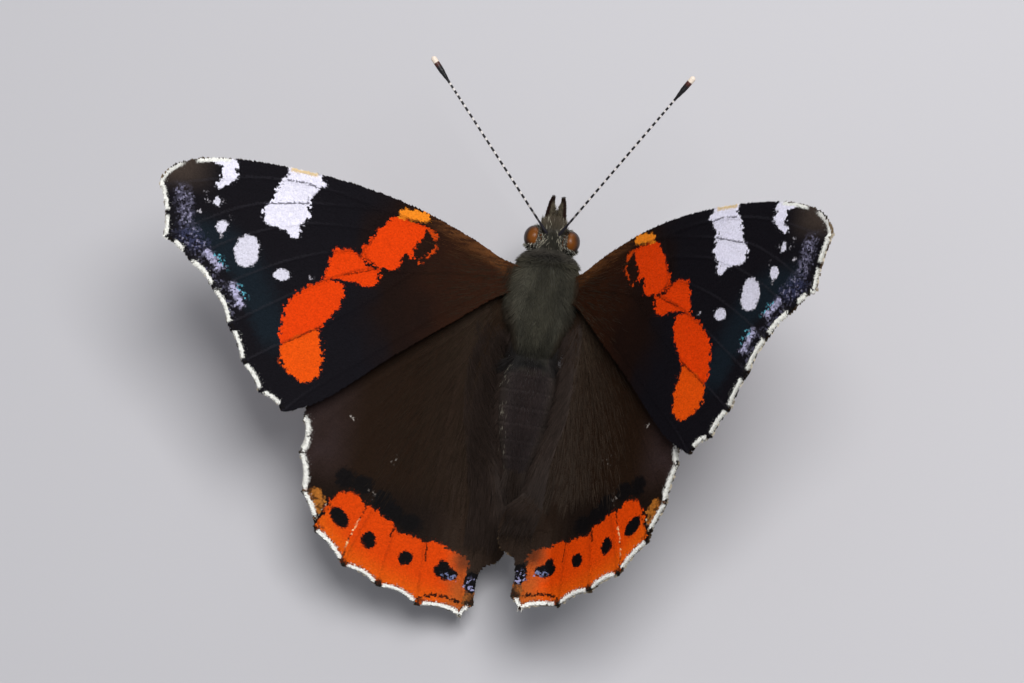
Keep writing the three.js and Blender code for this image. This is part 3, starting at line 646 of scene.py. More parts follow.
def hindwing_upper(x, y):
    p = shaken(x, y, 0.2)
    even = np.column_stack([x, y])
    fine = noise(x, y, 0.12, 35)
    gap, bay = outer_margin(p, HINDWING)
    base = plain(HIND_BROWN, len(x))
    streaks = noise(x * 3.0, y * 0.35, 0.7, 31)
    base = lay(base, (1 - ramp(x, 1.5, 7.5)) * (0.8 + 0.3 * streaks), HIND_INNER)
    # the outer zone: partly its own violet-brown colour, partly a painted sheen
    violet_and_painted_sheen = ramp(x, 10.5, 15.5) * (1 - ramp(-y, 15, 18))
    base = lay(base, violet_and_painted_sheen * (0.7 + 0.3 * noise(x, y, 1.2, 32)), HIND_VIOLET_AND_PAINTED_SHEEN)
    base = lay(base, ramp(-y, 15.5, 18.5) * ramp(x, 1.5, 5) * 0.5, SPOT_BLACK)
    for centre, rx, ry in HIND_BLOTS:
        base = lay(base, ramp(blob(p, centre, rx, ry), -0.2, 0.2) * 0.95, SPOT_BLACK)
    for centre, rx, ry in HIND_CLUSTERS:
        near = ramp(blob(even, centre, rx, ry), -0.1, 0.2)
        base = lay(base, near * ramp(noise(x, y, 0.14, 36), 0.5, 0.7), CLUSTER_GREY)
    base = lay(base, line_cover(even, PALE_VEIN, 0.05) * ramp(noise(x, y, 0.3, 37), -0.2, 0.1), PALE_HAIRLINE)
    rim = bays(HINDWING, 0.4)
    low = rim[(rim[:, 1] < -20.6) & (rim[:, 0] > 0.3)]
    band = edge(depth_in(p, np.vstack([smooth_line(HIND_BAND_TOP, 0.2), low[::-1]])), 0.06)
    tone = lay(plain(BAND_ORANGE, len(x)), (1 - ramp(gap, 0.6, 3.0)) * 0.55, BAND_LOW)
    tone = lay(tone, (1 - ramp(x + 0.4 * noise(x, y, 0.5, 41), 0.8, 3.0)) * 0.6, INNER_BROWN)
    fade = 1 - 0.7 * (1 - ramp(x, 0.8, 2.2)) * ramp(y, -23.4, -22.2)
    base = base + (tone - base) * (band * fade)[:, None]
    wedge = edge(patch_depth(p, WEDGE))
    base = lay(base, wedge * (0.8 + 0.25 * fine), WEDGE_ORANGE)
    base = lay(base, edge(patch_depth(p, INNER_CORNER)) * (0.6 + 0.6 * fine), INNER_BROWN)
    base = lay(base, wedge * ramp(noise(x, y, 0.3, 40), 0.25, 0.5) * 0.8, WEDGE_MOTTLE)
    base = lay(base, line_cover(p, WEDGE_LINE, 0.17) * 0.95, SPOT_BLACK)
    base = lay(base, line_cover(even, WEDGE_LINE, 0.04) * ramp(noise(x, y, 0.2, 38), 0.2, 0.5), WEDGE_PALE)
    calm = even + (p - even) * 0.4
    for centre, rx, ry, tilt in HIND_SPOTS:
        base = lay(base, edge(blob(calm, centre, rx, ry, tilt)), SPOT_BLACK)
    blue = edge(blob(p, (1.9, -23.5), 0.7, 0.26, 0.2)) * 0.6
    base = lay(base, blue * ramp(noise(x, y, 0.14, 33), 0.0, 0.3), BLUE_SPECK)
    lilac = edge(blob(p, (-0.2, -24.0), 0.68, 0.58), 0.15)
    base = lay(base, lilac * ramp(noise(x, y, 0.1, 42), 0.1, 0.35) * 0.9, LILAC_SPECK)
    base = lay(base, line_cover(p, CORNER_LINE, 0.09) * ramp(noise(x, y, 0.4, 34), -0.8, -0.4), LINE_DARK)
    for vein in SHORT_VEINS:
        base = lay(base, line_cover(even, vein, 0.07) * 0.9, SHORT_VEIN_DARK)
    dashes = line_cover(even, DASHED_VEIN, 0.05)
    pale = ramp(-y, 19.5, 20.0) * (1 - ramp(-y, 21.8, 22.6)) * ramp(noise(x, y, 0.35, 39), -0.5, -0.2)
    base = lay(base, dashes * (1 - pale) * 0.85, LINE_DARK)
    base = lay(base, dashes * pale, DASH_PALE)
    phase = bay % 1
    tips = (1 - ramp(np.minimum(phase, 1 - phase), 0.05, 0.10)) * (1 - ramp(gap, 0.7, 1.1)) * (bay > 1.9)
    base = lay(base, tips * 0.95, TIP_DARK)
    veins = vein_gap(even, HINDWING)
    bright = ramp(base.max(axis=1), 0.05, 0.3)
    base = lay(base, (1 - ramp(veins, 0.03, 0.09)) * bright * 0.25, HAIRLINE)
    gap, bay = outer_margin(even, HINDWING)
    rim_gap = gap - bay_depth(bay, HINDWING)
    line = (1 - ramp(np.abs(rim_gap - RIM_WHITE - 0.1), 0.03, 0.1)) * (bay > 1.9)
    base = lay(base, line * 0.6, RIM_BROWN)
    white = (1 - ramp(rim_gap, RIM_WHITE, RIM_WHITE + 0.1)) * in_bays(bay, HIND_FRINGE)
    wide = (1 - ramp(rim_gap, 0.5, 0.8)) * in_bays(bay, HIND_FRINGE) * (bay < 2) * ramp(fine, -0.6, 0.2)
    return lay(base, np.maximum(white, wide * 0.8), FRINGE_WHITE)


print("upper markings ready")

# %% [markdown]
# ## Markings of the underside
#
# The photo hides the undersides, so they follow the species. The forewing repeats the band and the white
# spots from above on a brown ground, with a rosy band by the front edge and blue bars. The hindwing is
# mottled like bark, in browns and greys, with a row of faint eyespots.

# %% Underside colours
UNDER_BLACK = colour("15100f")
FORE_BARK = [colour("4a3a2a"), colour("2c231c"), colour("75634c")]
HIND_BARK = [colour("3b2d20"), colour("211914"), colour("5e4d3a"), colour("171311")]
UNDER_ORANGE = colour("d9542c")
ROSE = colour("d4577a")
UNDER_WHITE = colour("e9e2dc")
UNDER_DOT = colour("e6ded6")
UNDER_BLUE = colour("5f7fb8")
FORE_UNDER_FRINGE = colour("cfc4b0")
HIND_UNDER_FRINGE = colour("b9ad98")
FORE_UNDER_VEIN = colour("3a2a1c")
HIND_UNDER_VEIN = colour("665540")
BUFF = colour("a8957a")
EYESPOT_RING = colour("6d5a3a")
EYESPOT_DARK = colour("1d1c22")
EYESPOT_BLUE = colour("5b6f8c")
MARGIN_LINE = colour("6f6654")


def mottle(x, y, tones, seed):
    base = plain(tones[0], len(x))
    for k, tone in enumerate(tones[1:]):
        field = noise(x, y, 1.9, seed + k) + 0.7 * noise(x, y, 0.8, seed + 10 + k)
        field = field + 0.35 * noise(x, y, 0.35, seed + 20 + k)
        base = lay(base, ramp(field, 0.15, 0.55), tone)
    return base


def under_rim(points, plan, runs):
    """1 on the pale outer rim of the underside."""
    gap, bay = outer_margin(points, plan)
    return (1 - ramp(gap - bay_depth(bay, plan), 0.3, 0.42)) * in_bays(bay, runs)


def forewing_under(x, y):
    p = shaken(x, y, 0.14)
    base = plain(UNDER_BLACK, len(x))
    tip = ramp(x, 22.5, 25.5) * ramp(y + 0.2 * x, 1.5, 4.5)
    bark = mottle(x, y, FORE_BARK, 41)
    base = base + (bark - base) * (tip * 0.9)[:, None]
    for part in (BAND_MID, BAND_LOW_PART, BAND_TAIL):
        base = lay(base, edge(patch_depth(p, part)), UNDER_ORANGE)
    rosy = ROSE * 0.5 + UNDER_ORANGE * 0.5
    base = lay(base, np.maximum(edge(patch_depth(p, BAND_CELL)), edge(patch_depth(p, BAND_START))), rosy)
    base = lay(base, edge(patch_depth(p, WHITE_BAR)), UNDER_WHITE)
    for centre, rx, ry in WHITE_DOTS:
        base = lay(base, edge(blob(p, centre, rx, ry)), UNDER_DOT)
    blue = np.maximum(edge(blob(p, (14.6, 2.6), 0.9, 0.35, 0.9)), edge(blob(p, (5.6, 1.6), 0.9, 0.3, 1.1)))
    base = lay(base, blue, UNDER_BLUE)
    base = lay(base, under_rim(p, FOREWING, FORE_FRINGE), FORE_UNDER_FRINGE)
    veins = vein_gap(np.column_stack([x, y]), FOREWING)
    return lay(base, (1 - ramp(veins, 0.05, 0.15)) * 0.5, FORE_UNDER_VEIN)


def hindwing_under(x, y):
    p = shaken(x, y, 0.14)
    base = mottle(x, y, HIND_BARK, 61)
    base = lay(base, edge(blob(p, (11.6, -4.6), 1.6, 0.9, -0.8)) * 0.8, BUFF)
    for (cx, cy), rx, ry, _ in HIND_SPOTS[:4]:
        centre = (cx * 0.95, cy * 0.95 + 0.3)
        base = lay(base, edge(blob(p, centre, rx * 1.7, ry * 1.5)) * 0.6, EYESPOT_RING)
        base = lay(base, edge(blob(p, centre, rx, ry)) * 0.8, EYESPOT_DARK)
        base = lay(base, edge(blob(p, centre, rx * 0.4, ry * 0.4)) * 0.7, EYESPOT_BLUE)
    gap, _ = outer_margin(p, HINDWING)
    base = lay(base, (1 - ramp(np.abs(gap - 1.5), 0.2, 0.5)) * 0.35, MARGIN_LINE)
    base = lay(base, under_rim(p, HINDWING, HIND_FRINGE), HIND_UNDER_FRINGE)
    veins = vein_gap(np.column_stack([x, y]), HINDWING)
    return lay(base, (1 - ramp(veins, 0.06, 0.18)) * 0.55, HIND_UNDER_VEIN)


def paint(x, y, wing, face):
    """Colours of a wing's upper face, which is 1, or its underside, which is -1."""
    if wing["plan"] is FOREWING:
        return forewing_upper(x, y) if face > 0 else forewing_under(x, y)
    return hindwing_upper(x, y) if face > 0 else hindwing_under(x, y)


print("under markings ready")

# %% [markdown]
# ## Meshes and finishes
#
# Large meshes are filled straight from arrays. Every skin and coat carries its colours in a point attribute
# named tint, because a pattern made of scales follows the surface and not the room. The shaders read it, and
# add the roughness, sheen and fine bump that each material has.

# %% Mesh and material helpers


def mesh_piece(name, points, faces, tint=None, smooth=True):
    mesh = bpy.data.meshes.new(name)
    mesh.from_pydata([], [], [])
    faces = np.asarray(faces, np.int32)
    sides = faces.shape[1]
    mesh.vertices.add(len(points))
    mesh.vertices.foreach_set("co", np.asarray(points, np.float32).ravel())
    mesh.loops.add(faces.size)
    mesh.loops.foreach_set("vertex_index", faces.ravel())
    mesh.polygons.add(len(faces))
    mesh.polygons.foreach_set("loop_start", np.arange(0, faces.size, sides, dtype=np.int32))
    mesh.polygons.foreach_set("use_smooth", np.full(len(faces), smooth))
    mesh.update(calc_edges=True)
    if tint is not None:
        put_tint(mesh, tint)
    return put_in_scene(name, mesh)


def put_in_scene(name, data):
    piece = bpy.data.objects.new(name, data)
    bpy.context.scene.collection.objects.link(piece)
    return piece


def put_vectors(mesh, name, values):
    layer = mesh.attributes.new(name, "FLOAT_VECTOR", "POINT")
    layer.data.foreach_set("vector", np.asarray(values, np.float32).ravel())


def put_tint(mesh, tint):
    layer = mesh.attributes.new("tint", "FLOAT_COLOR", "POINT")
    layer.data.foreach_set("color", np.column_stack([tint, np.ones(len(tint))]).astype(np.float32).ravel())


def shader(name):
    material = bpy.data.materials.new(name)
    material.use_nodes = True
    nodes = material.node_tree.nodes
    return material, nodes, material.node_tree.links, nodes["Principled BSDF"]


GRAIN_SIZE = 0.00012
SHEEN_ROUGHNESS = 0.4


def tinted(name, roughness, specular, sheen=0.0, grain=0.0):
    """A finish whose colour is the piece's own tint, with an optional fine grain."""
    material, nodes, links, skin = shader(name)
    tint = nodes.new("ShaderNodeAttribute")
    tint.attribute_name = "tint"
    links.new(tint.outputs["Color"], skin.inputs["Base Color"])
    skin.inputs["Roughness"].default_value = roughness
    skin.inputs["Specular IOR Level"].default_value = specular
    skin.inputs["Sheen Weight"].default_value = sheen
    skin.inputs["Sheen Roughness"].default_value = SHEEN_ROUGHNESS
    if grain:
        place = nodes.new("ShaderNodeTexCoord")
        speckle = nodes.new("ShaderNodeTexNoise")
        speckle.inputs["Scale"].default_value = 1 / GRAIN_SIZE
        speckle.inputs["Detail"].default_value = 3
        bump = nodes.new("ShaderNodeBump")
        bump.inputs["Strength"].default_value = grain
        bump.inputs["Distance"].default_value = GRAIN_SIZE
        links.new(place.outputs["Object"], speckle.inputs["Vector"])
        links.new(speckle.outputs["Fac"], bump.inputs["Height"])
        links.new(bump.outputs["Normal"], skin.inputs["Normal"])
    return material


WING_SKIN = tinted("wing_membrane", 0.7, 0.05, 0.0, 0.4)
WING_SCALES = tinted("wing_scales", 0.65, 0.05)
FUR = tinted("fur", 0.65, 0.10, 0.02)
BODY_SKIN = tinted("body_cuticle", 0.6, 0.25, 0.05, 0.6)
HORN = tinted("antenna_cuticle", 0.4, 0.4, 0.0, 0.3)
LEG = tinted("leg_cuticle", 0.45, 0.4, 0.0, 0.5)
print("materials:", len(bpy.data.materials))

# %% [markdown]
# ## Wing skins
#
# A membrane is far thinner than the solid that stands for it. Its plan is filled with an even field of points
# and triangulated inside the margin, then both faces are lifted off the middle surface by half the thickness
# and by the veins. The two faces share their triangles, and a wall along the margin closes them.

# %% Make the four wing skins
SKIN_STEP = 0.34
SKIN_HALF = 0.10
# the skin's own colours are a little darker than the scales on it
UNDER_COAT = 0.8
# the membrane and its scales end this share of the fringe's width inside the outline
MEMBRANE_SHARE = 0.7


def staggered(loop, step, row):
    """Points in staggered rows over the box round a loop; row is the way between rows, counted in steps."""
    low, high = loop.min(axis=0), loop.max(axis=0)
    ys = np.arange(low[1], high[1], step * row)
    x, y = np.meshgrid(np.arange(low[0], high[0], step), ys)
    x = x + (np.arange(len(ys)) % 2)[:, None] * step / 2
    return np.column_stack([x.ravel(), y.ravel()])


def fill_plan(plan, inset, step):
    """Margin points, then an even field of points inside, with the triangles between them."""
    loop = outline(plan, inset)
    field = staggered(loop, step, 0.87)
    field = field[depth_in(field, loop) > step * 0.45]
    points = np.vstack([loop, field])
    corners = [Vector(p) for p in points]
    order = list(range(len(loop)))
    if signed_area(loop) < 0:
        order.reverse()
    verts, _, tris, *_ = delaunay_2d_cdt(corners, [], [order], 1, 1e-6)
    flat = np.array([tuple(v) for v in verts])
    return flat, np.array([t for t in tris if len(t) == 3])


def signed_area(loop):
    x, y = loop[:, 0], loop[:, 1]
    return 0.5 * np.sum(x * np.roll(y, -1) - np.roll(x, -1) * y)


def border(tris):
    """Directed border edges of a triangle field."""
    edges = np.vstack([tris[:, [0, 1]], tris[:, [1, 2]], tris[:, [2, 0]]])
    forward = {tuple(e) for e in edges.tolist()}
    return np.array([e for e in forward if (e[1], e[0]) not in forward])


def wing_skin(name, wing):
    plan = wing["plan"]
    flat, tris = fill_plan(plan, FRINGE * MEMBRANE_SHARE, SKIN_STEP)
    a, b, c = (flat[tris[:, k]] for k in range(3))
    area = (b[:, 0] - a[:, 0]) * (c[:, 1] - a[:, 1]) - (b[:, 1] - a[:, 1]) * (c[:, 0] - a[:, 0])
    tris[area < 0] = tris[area < 0][:, ::-1]
    x, y = flat.T
    middle, normal = surface(x, y, wing)
    rise = sag_between_veins(x, y, plan)[:, None]
    up = middle + normal * (SKIN_HALF + rise)
    down = middle - normal * (SKIN_HALF - rise * 0.5)
    tint = np.vstack([paint(x, y, wing, 1), paint(x, y, wing, -1)])
    n = len(flat)
    head, foot = border(tris).T
    faces = np.vstack([tris, tris[:, ::-1] + n, np.column_stack([foot, head, head + n]),
                       np.column_stack([foot, head + n, foot + n])])
    if wing["side"] < 0:
        faces = faces[:, ::-1]
    piece = mesh_piece(name + "_skin", wing_to_room(np.vstack([up, down]), wing), faces, tint * UNDER_COAT)
    piece.data.materials.append(WING_SKIN)
    print(name, "skin triangles:", len(faces))
    return piece


skins = {name: wing_skin(name, wing) for name, wing in WINGS.items()}

# %% [markdown]
# ## One coat for scales, fur and hair
#
# Scales, fur and bristles are all the same job: one small closed form set on many roots, each turned, sized
# and coloured in its own way. A Geometry Nodes tree does it. It sets the form on the roots, shakes each copy
# a little with a fixed seed, makes the copies real, and writes a small patch of the OFBake map for each root,
# so that a baked texture gives every copy the colour of its own place.

# %% The coat tree
COAT_INPUTS = {"Geometry": "NodeSocketGeometry", "Form": "NodeSocketObject", "Finish": "NodeSocketMaterial",
               "Wander": "NodeSocketFloat", "Spread": "NodeSocketFloat", "Patch": "NodeSocketFloat",
               "Seed": "NodeSocketInt"}


def coat_tree():
    tree = bpy.data.node_groups.new("coat", "GeometryNodeTree")
    for title, kind in COAT_INPUTS.items():
        tree.interface.new_socket(title, in_out="INPUT", socket_type=kind)
    tree.interface.new_socket("Geometry", in_out="OUTPUT", socket_type="NodeSocketGeometry")
    add, link = tree.nodes.new, tree.links.new
    source, sink = add("NodeGroupInput").outputs, add("NodeGroupOutput")

    def named(title):
        node = add("GeometryNodeInputNamedAttribute")
        node.data_type = "FLOAT_VECTOR"
        node.inputs["Name"].default_value = title
        return node.outputs["Attribute"]

    def scaled(factor, output=None, fixed=(1, 1, 1)):
        """The output, or else the fixed vector, times the factor."""
        node = add("ShaderNodeVectorMath")
        node.operation = "SCALE"
        node.inputs[0].default_value = fixed
        if output:
            link(output, node.inputs[0])
        link(factor, node.inputs["Scale"])
        return node.outputs["Vector"]

    def one_and(operation, output):
        node = add("ShaderNodeMath")
        node.operation = operation
        node.inputs[0].default_value = 1
        link(output, node.inputs[1])
        return node.outputs[0]

    def turned(euler):
        node = add("FunctionNodeEulerToRotation")
        link(euler, node.inputs["Euler"])
        return node.outputs["Rotation"]

    form = add("GeometryNodeObjectInfo")
    link(source["Form"], form.inputs["Object"])
    shake = add("FunctionNodeRandomValue")
    shake.data_type = "FLOAT_VECTOR"
    link(scaled(source["Wander"], fixed=(-1, -1, -1)), shake.inputs["Min"])
    link(scaled(source["Wander"]), shake.inputs["Max"])
    link(source["Seed"], shake.inputs["Seed"])
    both = add("FunctionNodeRotateRotation")
    both.rotation_space = "LOCAL"
    link(turned(named("turn")), both.inputs["Rotation"])
    link(turned(shake.outputs["Value"]), both.inputs["Rotate By"])
    spread = add("FunctionNodeRandomValue")
    spread.data_type = "FLOAT"
    link(one_and("SUBTRACT", source["Spread"]), spread.inputs[2])
    link(one_and("ADD", source["Spread"]), spread.inputs[3])
    link(source["Seed"], spread.inputs["Seed"])
    place = add("GeometryNodeInstanceOnPoints")
    link(source["Geometry"], place.inputs["Points"])
    link(form.outputs["Geometry"], place.inputs["Instance"])
    link(both.outputs["Rotation"], place.inputs["Rotation"])
    link(scaled(spread.outputs[1], named("size")), place.inputs["Scale"])
    real = add("GeometryNodeRealizeInstances")
    link(place.outputs["Instances"], real.inputs["Geometry"])
    spot = add("ShaderNodeVectorMath")
    spot.operation = "ADD"
    link(named("root_place"), spot.inputs[0])
    link(scaled(source["Patch"], named("leaf")), spot.inputs[1])
    store = add("GeometryNodeStoreNamedAttribute")
    store.data_type = "FLOAT2"
    store.domain = "CORNER"
    store.inputs["Name"].default_value = "OFBake"
    link(real.outputs["Geometry"], store.inputs["Geometry"])
    link(spot.outputs["Vector"], store.inputs["Value"])
    finish = add("GeometryNodeSetMaterial")
    link(store.outputs["Geometry"], finish.inputs["Geometry"])
    link(source["Finish"], finish.inputs["Material"])
    link(finish.outputs["Geometry"], sink.inputs["Geometry"])
    return tree


COAT = coat_tree()
print("coat tree nodes:", len(COAT.nodes))

# %% [markdown]
# ## Three small forms
#
# A real scale is a flat plate with a toothed end, and a hair is a fine tube. Each copy here has to be closed
# and cheap, because there are so many: a scale is a low pyramid of 4 triangles, and a tuft or a hair is a
# bent three-sided spindle of 10. Each form grows along +y from its root and is about one unit long.

# %% The three forms and the function that sets them
BLADE_SIDES = 3
OFBAKE_PATCH = 0.003


def form_piece(name, points, faces):
    """A form with its own place as leaf."""
    piece = mesh_piece(name, points, faces, smooth=False)
    put_vectors(piece.data, "leaf", np.asarray(points) - [0, 0.5, 0])
    piece.hide_render = True
    return piece


def ring_faces(rings, sides):
    """Triangles between rings of points that follow one another."""
    faces = []
    for r in range(rings - 1):
        for k in range(sides):
            a, b = r * sides + k, r * sides + (k + 1) % sides
            faces += [(a, a + sides, b), (b, a + sides, b + sides)]
    return faces


def closed_rings(rings, sides):
    """Rings closed by the two poles that come after them, the first ring's and then the last one's."""
    faces = ring_faces(rings, sides)
    pole = rings * sides
    last = (rings - 1) * sides
    for k in range(sides):
        after = (k + 1) % sides
        faces += [(pole, k, after), (pole + 1, last + after, last + k)]
    return faces


def blade(widths, heights, thick):
    """A thin bent spindle: rings of a few sides that end in a point."""
    points = []
    for (t, w), h in zip(widths, heights):
        for turn in turns_round(BLADE_SIDES) + math.pi / 2:
            points.append((w * math.cos(turn), t, h + w * thick * math.sin(turn)))
    tip = len(points)
    last = tip - BLADE_SIDES
    points.append((0, 1, heights[-1]))
    faces = ring_faces(len(widths), BLADE_SIDES)
    faces += [(last + k, tip, last + (k + 1) % BLADE_SIDES) for k in range(BLADE_SIDES)]
    return points, faces + [(0, 1, 2)]


FLAKE_POINTS = [(0, 0, 0), (0.5, 0.95, 0.02), (-0.5, 0.95, 0.02), (0, 0.8, 0.14)]
FLAKE_FACES = [(0, 1, 3), (1, 2, 3), (2, 0, 3), (0, 2, 1)]
FLAKE = form_piece("form_flake", FLAKE_POINTS, FLAKE_FACES)
TUFT = form_piece("form_tuft", *blade([(0, 0.5), (0.45, 0.42)], [0, 0.05, 0.12], 0.6))
HAIR = form_piece("form_hair", *blade([(0, 0.5), (0.5, 0.4)], [0, 0.03, 0.05], 0.9))


def eulers(along, up):
    """Euler angles that turn +y to along and +z towards up."""
    y = normed(along)
    x = normed(np.cross(y, up))
    z = np.cross(x, y)
    pitch = np.arcsin(np.clip(-x[:, 2], -1, 1))
    return np.column_stack([np.arctan2(y[:, 2], z[:, 2]), pitch, np.arctan2(x[:, 1], x[:, 0])])


def coat(name, roots, along, up, size, tint, root_place, form, finish, wander, spread, seed):
    """Sets a form on each root. Sizes are width, length and height in millimetres, roots in metres."""
    points = mesh_piece("roots_" + name, roots, np.empty((0, 3), int), np.clip(tint, 0, 1))
    put_vectors(points.data, "turn", eulers(along, up))
    put_vectors(points.data, "size", np.asarray(size) * MM)
    put_vectors(points.data, "root_place", np.column_stack([root_place, np.zeros(len(root_place))]))
    worker = points.modifiers.new("coat", "NODES")
    worker.node_group = COAT
    ids = {s.name: s.identifier for s in COAT.interface.items_tree if s.in_out == "INPUT"}
    values = {"Form": form, "Finish": finish, "Wander": wander, "Spread": spread, "Patch": OFBAKE_PATCH,
              "Seed": seed}
    for title, value in values.items():
        worker[ids[title]] = value
    graph = bpy.context.evaluated_depsgraph_get()
    mesh = bpy.data.meshes.new_from_object(points.evaluated_get(graph))
    bpy.data.objects.remove(points)
    mesh.name = name
    for extra in ("turn", "size", "leaf", "root_place"):
        if extra in mesh.attributes:
            mesh.attributes.remove(mesh.attributes[extra])
    print(name, "triangles:", len(mesh.polygons), "maps:", [m.name for m in mesh.uv_layers])
    return put_in_scene(name, mesh)


def sizes(width, length, height):
    """Width, length and height of each copy; the length is given for each one."""
    count = len(length)
    return np.column_stack([np.broadcast_to(width, count), length, np.broadcast_to(height, count)])


coats = []

# %% [markdown]
# ## The scales
#
# Wing scales lie like roof tiles in rows, each rooted at its narrow end and pointing out to the margin. Real
# ones are a tenth of a millimetre wide, and there are hundreds of thousands, so these are about twice as wide
# and fewer. They are set on a jittered field over both faces, and each is a little lighter or darker.

# %% Set the wing scales
UPPER_PITCH = 0.128
HIND_COARSER = 1.08
UNDER_PITCH = 0.175
# width, length and height of a scale, counted in pitches
SCALE_SHAPE = (1.55, 2.3, 0.8)
MAP_LOW = np.array([-3.0, -29.0])
MAP_SIZE = 37.0


def wing_map(x, y):
    return (np.column_stack([x, y]) - MAP_LOW) / MAP_SIZE


def field_over(plan, pitch, seed):
    loop = outline(plan, FRINGE * MEMBRANE_SHARE)
    rng = np.random.default_rng(seed)
    points = staggered(loop, pitch, 0.9)
    points = points + rng.uniform(-0.3, 0.3, points.shape) * pitch
    return points[inside(points, loop)], rng


def run_out(x, y, plan):
    """The way scales and hairs point: from the hinge outwards, and straight back near the inner edge."""
    dx, dy = x + 2.5, y - 0.5
    if plan is HINDWING:
        dx = dx * ramp(x, -1, 5) * 0.8
        dy = y - 3.0
    return normed(np.column_stack([dx, dy]))


def lobe_painted_shading(x, y, wing):
    """Painted light and shade on the bent inner part behind the abdomen: a factor for its colours."""
    if not wing["fold"]:
        return np.ones((len(x), 1))
    lobe = ramp(-y, 12.5, 16.5) * (1 - ramp(x, 0.5, 4.0)) * (1 - ramp(-y, 22, 23.5))
    return 1 + wing["fold"]["shade"] * lobe[:, None]


def on_wing(x, y, way, wing, face, lift, tilt):
    """Room places, growth directions and normals on one face of a wing; lift is off the skin."""
    middle, normal = surface(x, y, wing)
    ahead = middle_surface(x + way[:, 0] * 0.1, y + way[:, 1] * 0.1, wing)
    along = normed(ahead - middle)
    rise = sag_between_veins(x, y, wing["plan"])
    off = SKIN_HALF + (rise if face > 0 else -rise * 0.5) + lift
    points = middle + normal * (face * off)[:, None]
    up = wing_directions(normal * face, wing)
    out = wing_directions(along, wing)
    if wing["fold"]:
        # behind the abdomen everything on the wing grows straight back
        behind = (ramp(-y, 12.5, 16) * (1 - ramp(x, 2.0, 5.0)))[:, None]
        straight = turn_to_room(np.array([[0.0, -1.0, 0.0]]))
        flat = straight - up * (straight * up).sum(axis=1, keepdims=True)
        out = normed(out + (flat - out) * behind)
    return wing_to_room(points, wing), out * math.cos(tilt) + up * math.sin(tilt), up


def wing_scales(name, wing, face, pitch, seed):
    plan = wing["plan"]
    p, rng = field_over(plan, pitch, seed)
    x, y = p.T
    tint = uneven(paint(x, y, wing, face), rng, 0.9, 1.1)
    if face > 0:
        # painted light and shade on the bent part behind the abdomen
        tint = tint * lobe_painted_shading(x, y, wing)
    place = on_wing(x, y, run_out(x, y, plan), wing, face, 0.005, 0.10)
    size = plain(np.array(SCALE_SHAPE) * pitch, len(x))
    tag = "_scales" if face > 0 else "_underscales"
    return coat(name + tag, *place, size, tint, wing_map(x, y), FLAKE, WING_SCALES, 0.05, 0.12, seed)


for k, (name, wing) in enumerate(WINGS.items()):
    coats.append(wing_scales(name, wing, 1, UPPER_PITCH * (1.0 if "fore" in name else HIND_COARSER), 100 + k))
    coats.append(wing_scales(name, wing, -1, UNDER_PITCH, 200 + k))

# %% [markdown]
# ## The fringe and the long hairs
#
# Fine hair scales edge each wing: white in the bays and dark at the vein tips. Long soft hairs lie over the
# wing bases and the hindwing's inner half, and give it its brushed look.

# %% Set the fringes and the wing hairs
FRINGE_DARK = colour("1b1713")
HAIR_ABOVE = colour("2c2118")
HAIR_BELOW = colour("4a3d2e")
HAIR_NEAR = colour("3a2f23")
FLANK_DARK = colour("281f1a")
FLANK_LIGHT = colour("372c27")
ROOT_OLIVE = colour("3b392f")
ROOT_BROWN = colour("2b1e14")
TUFTS_TO_STEP = 4


def fringe(name, wing, seed):
    plan = wing["plan"]
    rng = np.random.default_rng(seed)
    line = resample(bays(plan, FRINGE * 0.72), 0.03)
    line = np.repeat(line, TUFTS_TO_STEP, axis=0)[:-TUFTS_TO_STEP]
    ahead = np.gradient(line[::TUFTS_TO_STEP], axis=0).repeat(TUFTS_TO_STEP, axis=0)
    out = normed(np.column_stack([-ahead[:, 1], ahead[:, 0]]))
    x, y = (line + rng.uniform(-0.04, 0.04, line.shape) - out * 0.14).T
    _, bay = outer_margin(np.column_stack([x, y]), plan)
    runs = FORE_FRINGE if plan is FOREWING else HIND_FRINGE
    white = in_bays(bay, runs, 0.015) * ramp(noise(bay * 6, bay * 0, 1.0, 71), -0.85, -0.75)
    tint = lay(plain(FRINGE_DARK, len(x)), white, FRINGE_WHITE)
    tint = uneven(tint, rng, 0.92, 1.04)
    out = normed(out + rng.normal(0, 0.12, out.shape))
    place = on_wing(x, y, out, wing, 1, rng.uniform(-0.16, 0.03, len(x)), 0.0)
    size = sizes(0.06, FRINGE * (0.8 + 0.28 * white), 0.05)
    return coat(name + "_fringe", *place, size, tint, wing_map(x, y), TUFT, FUR, 0.06, 0.1, seed)


